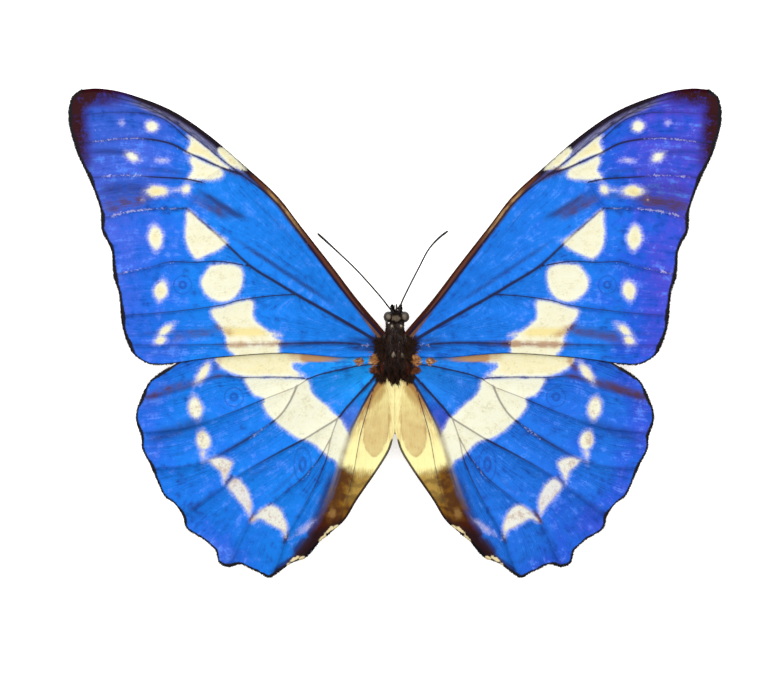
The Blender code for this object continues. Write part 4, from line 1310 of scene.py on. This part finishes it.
def tuft_mesh(name, hairs, thick, bend, flat=1.0):
    """A lock of pointed hairs of unit length along Z, its back to +X, bending to -X.

    hairs holds (side, back, length) of each; flat widens them sideways into scales.
    """
    vertices, faces, tips = [], [], []
    for side, back, tall in hairs:
        first = len(vertices)
        for t, wide in ((0.0, 0.75), (0.4, 1.0), (0.75, 0.7)):
            for k in range(3):
                turn = 2 * math.pi * k / 3
                vertices.append((back * (1 - t) - bend * t * t + thick * wide * math.cos(turn),
                                 side * (0.5 + t) + thick * flat * wide * math.sin(turn),
                                 t * tall))
                tips.append(t)
        vertices.append((-bend * 1.1, side * 1.6, tall))
        tips.append(1.0)
        faces.append((first, first + 2, first + 1))
        for r in (0, 3):
            faces += [(first + r + k, first + r + (k + 1) % 3, first + r + 3 + (k + 1) % 3,
                       first + r + 3 + k) for k in range(3)]
        faces += [(first + 6 + k, first + 6 + (k + 1) % 3, first + 9) for k in range(3)]
    mesh = bpy.data.meshes.new(name)
    mesh.from_pydata(vertices, [], faces)
    mesh.polygons.foreach_set("use_smooth", [True] * len(faces))
    store(mesh, "tip", tips)
    spread = np.array([(0.5 + v[1], v[2], 0.0) for v in vertices])
    store_vectors(mesh, "patch", np.clip(spread, 0, 1) - (0.5, 0.5, 0.0))
    made = bpy.data.objects.new(name, mesh)
    bpy.context.scene.collection.objects.link(made)
    return made


def grow(name, group, ground, tuft, material, spacing, lift, scatter, seed):
    """Grow a coat on a ground mesh and return it as a plain mesh object."""
    source = bpy.data.objects.new(name + "_ground", ground)
    bpy.context.scene.collection.objects.link(source)
    growth = source.modifiers.new("growth", "NODES")
    growth.node_group = group
    values = {"Tuft": tuft, "Spacing": spacing * MM, "Lift": lift, "Scatter": scatter,
              "Seed": seed, "Coat": material}
    for item in group.interface.items_tree:
        if item.name in values:
            growth[item.identifier] = values[item.name]
    return plain_copy(source, name)


ON_FACES = growth_tree("growth_on_faces", False)
ON_EDGES = growth_tree("growth_along_edges", True)
lock = tuft_mesh("lock", [(0.0, 0.0, 1.0), (0.07, 0.05, 0.8), (-0.08, -0.03, 0.88)], 0.035, 0.22)
scale = tuft_mesh("scale", [(0.0, 0.0, 1.0), (0.1, 0.02, 0.85), (-0.1, 0.0, 0.88)], 0.03, 0.1, 3.4)

fur_material, tree, surface = new_material("body_fur")
tip, tint = tree.attribute("tip"), tree.attribute("tint")
finish_surface(tree, surface, Base_Color=body_colour(tree, (tip * 0.6 + tint * 0.7).step(0.2, 1.1)),
               Roughness=0.65 + tint * 0.2, Specular_IOR_Level=0.08)


def stored(mesh, name):
    """One of a mesh's stored numbers as an array."""
    values = np.empty(len(mesh.vertices))
    mesh.attributes[name].data.foreach_get("value", values)
    return values


def along_skin(way, normals):
    """Directions laid into the surface."""
    laid = way - normals * (way * normals).sum(axis=1)[:, None]
    return laid / np.maximum(np.linalg.norm(laid, axis=1), 1e-6)[:, None]


outwards = (0.25 + 0.5 * soft(py, -0.5, 1.2) + 0.35 * soft(py, -6.5, -9.0)) * np.sign(px)
back = np.column_stack([outwards * soft(np.abs(px), 0.3, 2.0), -np.ones(len(at)),
                        -0.25 * soft(pz, 9.0, 6.0)])
face = np.column_stack([0.5 * middle, 0.4 * np.ones(len(at)), 0.9 * np.ones(len(at))])
crown = soft(pz, 8.5, 8.9) * soft(py, 4.2, 3.6)
way = np.where((is_head * (1 - crown) > 0.5)[:, None], face, back)
rear = soft(py, -6.4, -9.0) * (1 - is_abdomen)
reach = 0.85 + (1.1 + 0.7 * soft(np.abs(px), 1.4, 0.2)) * rear + 0.25 * soft(pz, 8.5, 6.5)
reach = reach * (1 - is_head) + is_head * (0.42 + 0.10 * is_palp)
reach = reach * (1 - is_abdomen) + is_abdomen * (0.55 - 0.25 * soft(py, -18.0, -20.0))
reach *= 1 - 0.25 * soft(py, -0.6, 1.0) * (1 - is_head)
ground = body.data.copy()
store_vectors(ground, "lie", along_skin(way, out))
store(ground, "reach", reach * MM)
store(ground, "girth", 1.0 + 0.5 * is_head + 0.5 * is_abdomen)
around = np.arctan2(px, pz - 7.3) / (2 * math.pi) + 0.5
store_vectors(ground, "root_uv", np.column_stack([0.02 + 0.96 * around,
                                                  0.02 + 0.96 * (py + 20.6) / 26.6,
                                                  np.zeros(len(at))]))
for label, region, tuft, spacing, lift in (
        ("head_fur", is_head * (eye_gap > 1.06), scale, 0.17, 0.45),
        ("thorax_fur", (1 - is_head) * (1 - is_abdomen), lock, 0.23, 0.42),
        ("abdomen_fur", is_abdomen, scale, 0.22, 0.3)):
    patch = ground.copy()
    store(patch, "cover", region)
    coat = grow(label, ON_FACES, patch, tuft, fur_material, spacing, lift, scatter=0.28, seed=7)
    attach(coat, "root")

# ------------------------------------------------------------------ hair on the wings
# Soft hair rooted in the wings' bases: black next to the thorax, with ginger and russet tufts
# over the hinges.

HAIR_BLACK, HAIR_BROWN, HAIR_STRAW = (0.004, 0.003, 0.003), (0.036, 0.016, 0.010), (0.72, 0.52, 0.34)
RUSSET_ROOT, RUSSET_TIP = (0.03, 0.006, 0.003), (0.20, 0.06, 0.02)
GINGER_ROOT, GINGER_TIP = (0.22, 0.065, 0.016), (0.62, 0.30, 0.10)

hair_material, tree, surface = new_material("wing_root_hair")
tip, tint, kind = (tree.attribute(key) for key in ("tip", "tint", "hair_kind"))
light = (tip * 0.5 + tint * 0.8).step(0.1, 1.1)
colour = tree.mix(light, HAIR_BLACK, HAIR_BROWN)
colour = tree.mix(kind.step(0.5, 0.9), colour, tree.mix(light, RUSSET_ROOT, RUSSET_TIP))
ginger_hair = tree.mix(light, GINGER_ROOT, GINGER_TIP)
ginger_hair = tree.mix(tint.step(0.92, 0.95), ginger_hair, HAIR_STRAW)
colour = tree.mix(kind.step(1.5, 1.9), colour, ginger_hair)
finish_surface(tree, surface, Base_Color=colour, Roughness=0.7, Specular_IOR_Level=0.1)

for kind_name, root_y in (("forewing", -3.0), ("hindwing", -6.0)):
    for side_name, side in SIDES:
        ground = bpy.data.objects[f"{kind_name}_{side_name}_membrane"].data.copy()
        at, out = vertex_places(ground)
        x, y = np.abs(at[:, 0]), at[:, 1]
        black, russet, ginger = (stored(ground, key) for key in ("black", "russet", "ginger"))
        cover = np.maximum.reduce([black, russet, ginger])
        bare = np.where((y > -3.9) | (y < -8.0), 0.0, 2.0)
        number = np.select([cover < 0.02, black >= cover, ginger >= cover], [bare, 0.0, 2.0], 1.0)
        store(ground, "hair_kind", number)
        store(ground, "cover", cover * (out[:, 2] > 0.2))
        store(ground, "reach", (1.1 - 0.15 * number) * MM)
        store(ground, "girth", np.full(len(x), 1.3))
        away = np.column_stack([(x - 1.5) * side, y - root_y, np.zeros(len(x))])
        store_vectors(ground, "lie", along_skin(away / 3.0, out))
        store_vectors(ground, "root_uv", np.column_stack(
            [0.02 + x / 12, 0.02 + (y + 11) / 14, np.zeros(len(x))]))
        coat = grow(f"{kind_name}_{side_name}_root_hair", ON_FACES, ground, lock, hair_material,
                    spacing=0.13, lift=0.6, scatter=0.4, seed=3)
        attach(coat, "root")

# ------------------------------------------------------------------ fringe of the wings
# A row of dark scales stands out all along the outer margins, with a few pale ones in the
# hollows between the veins and cream ones on the tabs of the hindwings' tails.

FRINGE_LENGTH = {"forewing": 0.42, "hindwing": 0.38}
FRINGE_BLACK, FRINGE_PALE = (0.012, 0.009, 0.012), (0.40, 0.33, 0.28)

fringe_material, tree, surface = new_material("wing_fringe")
tint = tree.attribute("tint")
colour = tree.mix((tree.attribute("hollow") + tint * 0.5).step(1.1, 1.3), FRINGE_BLACK,
                  FRINGE_PALE)
colour = tree.mix(tree.attribute("pale").step(0.3, 0.6), colour, TAB_CREAM)
finish_surface(tree, surface, Base_Color=colour, Roughness=0.6, Specular_IOR_Level=0.2)

for wing, kind_name in ((FOREWING, "forewing"), (HINDWING, "hindwing")):
    run = outer_margin(wing["runs"])
    keep = np.concatenate([[True], np.hypot(*np.diff(run, axis=0).T) > 0.05])
    run = run[keep]
    way = np.gradient(run, axis=0)
    outward = np.column_stack([way[:, 1], -way[:, 0]]) / np.hypot(*way.T)[:, None]
    outward *= -1 if within(run[40:41] + outward[40:41] * 0.3, wing["plan"][2])[0] else 1
    rooted = run - outward * 0.14
    height = wing_height(*rooted.T) + wing["level"]
    bulge = depth_in(run, np.array([run[0], *run[8::16], run[-1], (5.0, -5.0)]))
    for side_name, side in SIDES:
        ground = bpy.data.meshes.new(f"{kind_name}_{side_name}_margin")
        ground.from_pydata([(side * x * MM, y * MM, z * MM)
                            for (x, y), z in zip(rooted.tolist(), height.tolist())],
                           [(i, i + 1) for i in range(len(run) - 1)], [])
        store_vectors(ground, "lie", np.column_stack([side * outward[:, 0], outward[:, 1],
                                                      np.zeros(len(run))]))
        hollow = soft(bulge, -0.2, 0.6)
        store(ground, "reach", FRINGE_LENGTH[kind_name] * (1 - 0.4 * hollow) * MM)
        store(ground, "girth", np.ones(len(run)))
        store(ground, "hollow", hollow)
        store(ground, "pale", smear_field(rooted, wing["tabs"]))
        store_vectors(ground, "root_uv", np.column_stack(
            [0.02 + run[:, 0] / 68, 0.02 + (run[:, 1] + 50) / 104, np.zeros(len(run))]))
        fringe = grow(f"{kind_name}_{side_name}_fringe", ON_EDGES, ground, scale,
                      fringe_material, spacing=0.09, lift=0.0, scatter=0.3, seed=5)
        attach(fringe, "root")

# ------------------------------------------------------------------ eyes
# Two bulging compound eyes of smooth brown-grey facets under a clear cuticle,
# painted darker towards their rims as shade where they turn away from straight up.

EYE_BROWN, EYE_GREY = (0.06, 0.042, 0.028), (0.15, 0.115, 0.08)
EYE_SEAM, EYE_SIDE_SHADE = (0.02, 0.014, 0.01), (0.008, 0.005, 0.004)

eye_material, tree, surface = new_material("compound_eye")
place = object_places(tree)
facets = tree.add("ShaderNodeTexVoronoi", {}, {"Vector": place, "Scale": 16000.0,
                                               "Randomness": 0.25}, "Distance")
bands = tree.noise(place, 700.0, 2.0, 0.5)
colour = tree.mix(bands.step(0.35, 0.65), EYE_BROWN, EYE_GREY)
colour = tree.mix(facets.step(0.35, 0.75) * 0.5, colour, EYE_SEAM)
# Painted shade: only the upward-facing top keeps the eye's colour, and the sides fade to near black.
colour = tree.mix((tree.attribute("dome") + bands * 0.3).step(0.85, 1.08), EYE_SIDE_SHADE, colour)
finish_surface(tree, surface, Base_Color=colour, Roughness=0.35, Specular_IOR_Level=0.25,
               Coat_Weight=0.15, Coat_Roughness=0.15,
               Normal=tree.add("ShaderNodeBump", {"invert": True},
                               {"Strength": 0.35, "Distance": 0.00003, "Height": facets}))
for (side_name, _), centre in zip(SIDES, EYE_CENTRES):
    eye = mesh_object("compound_eye_" + side_name, *ball(centre, EYE_RADII, sides=56),
                      eye_material)
    _, out = vertex_places(eye.data)
    store(eye.data, "dome", out[:, 2])
    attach(eye, "root")
    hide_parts("eye_" + side_name)

# ------------------------------------------------------------------ antennae
# Thin dark whips of fifty to sixty short rings, each paler and a little narrower at its joint,
# thickening towards the tip. They stand out freely from the crown between the eyes.

ANTENNAE = {
    "left": [(-0.25, 4.0, 8.8), (-1.2, 5.1, 9.4), (-3.1, 7.5, 10.2), (-7.5, 12.4, 11.3),
             (-12.1, 16.8, 11.9), (-15.4, 19.8, 12.1)],
    "right": [(0.85, 4.0, 8.8), (1.2, 5.8, 9.5), (2.9, 9.4, 10.5), (4.7, 12.9, 11.2),
              (6.6, 16.5, 11.7), (8.6, 18.8, 12.0), (10.5, 20.3, 12.1)],
}
ANTENNA_RING, ANTENNA_RADIUS, ANTENNA_TIP = 0.38, 0.18, 0.25
HORN_DARK, HORN_PALE = (0.008, 0.006, 0.006), (0.045, 0.032, 0.024)

horn_material, tree, surface = new_material("antenna_rings")
finish_surface(tree, surface, Roughness=0.6, Specular_IOR_Level=0.2,
               Base_Color=tree.mix(tree.attribute("joint").step(0.5, 1.0), HORN_DARK, HORN_PALE))


def measured_run(line):
    """A smooth run through 3-D points, and the way gone at each of its points."""
    run = np.array(whole_run(line, 10))
    return run, np.concatenate([[0], np.cumsum(np.linalg.norm(np.diff(run, axis=0), axis=1))])


def ringed_limb(name, line, ring, radius_at, material):
    """A slender limb of short rings, narrowest at the joints, along 3-D points."""
    run, along = measured_run(line)
    count = int(along[-1] / ring)
    marks = np.linspace(0, along[-1], count * 4 + 1)
    path = [(*(np.interp(m, along, run[:, i]) for i in range(3)),
             radius_at(m / along[-1]) * (0.86 if k % 4 == 0 else 1.0))
            for k, m in enumerate(marks)]
    made = mesh_object(name, *limb(path, steps=1), material)
    joints = np.repeat([1.0 if k % 4 == 0 else 0.0 for k in range(len(marks))], LIMB_SIDES)
    store(made.data, "joint", np.concatenate([joints, [0.0, 0.0]]))
    return made


for side_name, line in ANTENNAE.items():
    horn = ringed_limb("antenna_" + side_name + "_rings", line, ANTENNA_RING,
                       lambda t: ANTENNA_RADIUS + (ANTENNA_TIP - ANTENNA_RADIUS)
                       * float(soft(t, 0.72, 0.95)) - 0.05 * float(soft(t, 0.975, 1.0)),
                       horn_material)
    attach(horn, "root")
    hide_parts("antenna_" + side_name)

# ------------------------------------------------------------------ proboscis
# The sucking tube: two half pipes of ringed horn zipped together, coiled like a watch spring
# between the palps.

COIL_CENTRE, COIL_OUTER, COIL_INNER, COIL_TURNS = (4.7, 4.9), 1.15, 0.32, 1.4
TONGUE_ROOT, TONGUE_RING, TONGUE_RADIUS = (BODY_SHIFT, 4.0, 6.6), 0.13, 0.2
TONGUE_BROWN, TONGUE_JOINT = (0.05, 0.022, 0.012), (0.016, 0.009, 0.006)

tongue_material, tree, surface = new_material("proboscis_rings")
finish_surface(tree, surface, Roughness=0.4,
               Base_Color=tree.mix(tree.attribute("joint"), TONGUE_BROWN, TONGUE_JOINT))
coil = [TONGUE_ROOT]
for i in range(40):
    part = i / 39
    reach = COIL_OUTER + (COIL_INNER - COIL_OUTER) * part
    turn = math.radians(100) - 2 * math.pi * COIL_TURNS * part
    coil.append((BODY_SHIFT, COIL_CENTRE[0] + reach * math.cos(turn),
                 COIL_CENTRE[1] + reach * math.sin(turn)))
tongue = ringed_limb("proboscis_coil", coil, TONGUE_RING,
                     lambda t: TONGUE_RADIUS * (1 - 0.2 * t), tongue_material)
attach(tongue, "root")
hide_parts("proboscis")

# ------------------------------------------------------------------ legs
# Four walking legs with long thighs and shins and five-part spined feet ending in two claws.
# The front pair is small, brush-like and folded against the chest.

FORELEG = [[(1.2, -1.6, 5.6, 0.32), (1.35, -0.4, 4.5, 0.34)],
           [(1.35, -0.4, 4.42, 0.26), (1.5, 1.0, 4.5, 0.3), (1.7, 2.3, 4.55, 0.22)],
           [(1.72, 2.45, 4.4, 0.18), (1.72, 2.5, 4.1, 0.2), (1.6, 0.9, 3.35, 0.24),
            (1.42, -0.7, 3.02, 0.16)]]
MIDLEG = [[(1.2, -3.4, 5.0, 0.55), (1.6, -3.2, 4.2, 0.5), (1.95, -2.95, 3.75, 0.36)],
          [(1.9, -3.0, 3.75, 0.32), (3.2, -2.2, 4.25, 0.42), (4.6, -1.5, 4.75, 0.4),
           (7.6, 0.2, 5.88, 0.24)],
          [(7.55, 0.15, 5.85, 0.22), (8.2, 0.9, 5.0, 0.27), (9.9, 2.8, 2.7, 0.25),
           (11.2, 4.3, 0.72, 0.2)]]
MIDFOOT = [(11.2, 4.3, 0.7), (11.6, 5.0, 0.26), (12.2, 6.6, 0.22), (12.9, 8.6, 0.22)]
HINDLEG = [[(1.2, -6.6, 5.0, 0.55), (1.6, -6.9, 4.2, 0.5), (2.0, -7.1, 3.85, 0.36)],
           [(1.95, -7.1, 3.85, 0.32), (3.3, -8.1, 4.4, 0.42), (4.7, -9.2, 4.95, 0.4),
            (7.4, -11.6, 6.05, 0.24)],
           [(7.35, -11.6, 6.05, 0.22), (7.9, -12.7, 5.1, 0.27), (9.2, -15.2, 2.8, 0.25),
            (10.3, -17.4, 0.72, 0.2)]]
HINDFOOT = [(10.3, -17.4, 0.7), (10.5, -18.0, 0.26), (10.9, -19.9, 0.22), (11.35, -22.1, 0.22)]
FOOT_SHARES, FOOT_RADIUS = (0.4, 0.2, 0.15, 0.12, 0.13), 0.15     # of the five foot parts
FOOT_SWELL = ((0.0, 0.72), (0.15, 0.85), (0.6, 0.92), (0.93, 1.12), (1.0, 0.8))
LEG_BROWN, LEG_TAN, KNEE_TAN = (0.035, 0.018, 0.010), (0.11, 0.06, 0.032), (0.20, 0.13, 0.07)

leg_material, tree, surface = new_material("leg_chitin")
place = object_places(tree)
mottle = tree.noise(place, 1500.0, 3.0, 0.6)
colour = tree.mix(mottle.step(0.35, 0.7), LEG_BROWN, LEG_TAN)
colour = tree.mix(tree.attribute("joint") * 0.7, colour, KNEE_TAN)
finish_surface(tree, surface, Base_Color=colour, Roughness=0.45,
               Normal=tree.add("ShaderNodeBump", {}, {"Strength": 0.3, "Distance": 0.00003,
                                                      "Height": mottle}))


def foot_path(line):
    """Five foot parts, each swelling to its end, as one limb path."""
    run, along = measured_run(line)
    ends = np.cumsum([0.0, *FOOT_SHARES]) * along[-1]
    path = []
    for start, end in zip(ends, ends[1:]):
        for t, swell in FOOT_SWELL:
            m = start + t * (end - start)
            path.append((*(np.interp(m, along, run[:, k]) for k in range(3)),
                         FOOT_RADIUS * swell))
    return path


def claw_paths(foot):
    """Two curved claws at the end of a foot."""
    end = Vector(foot[-1])
    ahead = (end - Vector(foot[-2])).normalized()
    across = ahead.cross(Vector((0, 0, 1))).normalized()
    claws = []
    for way in (-1, 1):
        claws.append([(*(end - ahead * 0.05 + across * way * 0.05), 0.07),
                      (*(end + ahead * 0.22 + across * way * 0.16 + Vector((0, 0, 0.05))), 0.06),
                      (*(end + ahead * 0.4 + across * way * 0.2 - Vector((0, 0, 0.08))), 0.035),
                      (*(end + ahead * 0.45 + across * way * 0.2 - Vector((0, 0, 0.17))), 0.012)])
    return claws


spine = tuft_mesh("spine", [(0.0, 0.0, 1.0)], 0.07, 0.05)
bristle_grounds = []
for side_name, side in SIDES:
    for leg_name, paths, foot in (("foreleg", FORELEG, None), ("midleg", MIDLEG, MIDFOOT),
                                  ("hindleg", HINDLEG, HINDFOOT)):
        parts = [limb(path, side) for path in paths]
        if foot:
            parts.append(limb(foot_path(foot), side, steps=1))
            parts += [limb(path, side, sides=8) for path in claw_paths(foot)]
        leg = mesh_object(f"{leg_name}_{side_name}_chitin", *joined(parts), leg_material)
        at, out = vertex_places(leg.data)
        knees = np.array([path[0][:3] for path in paths[1:]] + ([foot[0]] if foot else []))
        gap = np.min([np.linalg.norm(at * (side, 1, 1) - knee, axis=1) for knee in knees], axis=0)
        store(leg.data, "joint", soft(gap, 0.6, 0.2))
        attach(leg, "root")
        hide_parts(f"{leg_name}_{side_name}")
        bristles = leg.data.copy()
        ahead = np.array(paths[-1][-1][:3]) - np.array(paths[-1][0][:3])
        ahead = np.tile(ahead / np.linalg.norm(ahead) * (side, 1, 1), (len(at), 1))
        store_vectors(bristles, "lie", along_skin(ahead, out))
        is_brush = leg_name == "foreleg"
        store(bristles, "reach", np.full(len(at), (0.5 if is_brush else 0.32) * MM))
        store(bristles, "girth", np.ones(len(at)))
        store(bristles, "cover", soft(at[:, 2], 0.12, 0.2))
        store_vectors(bristles, "root_uv", np.column_stack(
            [0.02 + (at[:, 0] + 14) / 29.5, 0.02 + (at[:, 1] + 24) / 36, np.zeros(len(at))]))
        bristle_grounds.append((leg_name, side_name, bristles, is_brush))
for leg_name, side_name, bristles, is_brush in bristle_grounds:
    coat = grow(f"{leg_name}_{side_name}_bristles", ON_FACES, bristles,
                lock if is_brush else spine, leg_material, spacing=0.16 if is_brush else 0.3,
                lift=0.4 if is_brush else 0.75, scatter=0.2, seed=11)
    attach(coat, "root")

for tuft in (lock, scale, spine):
    bpy.data.objects.remove(tuft)
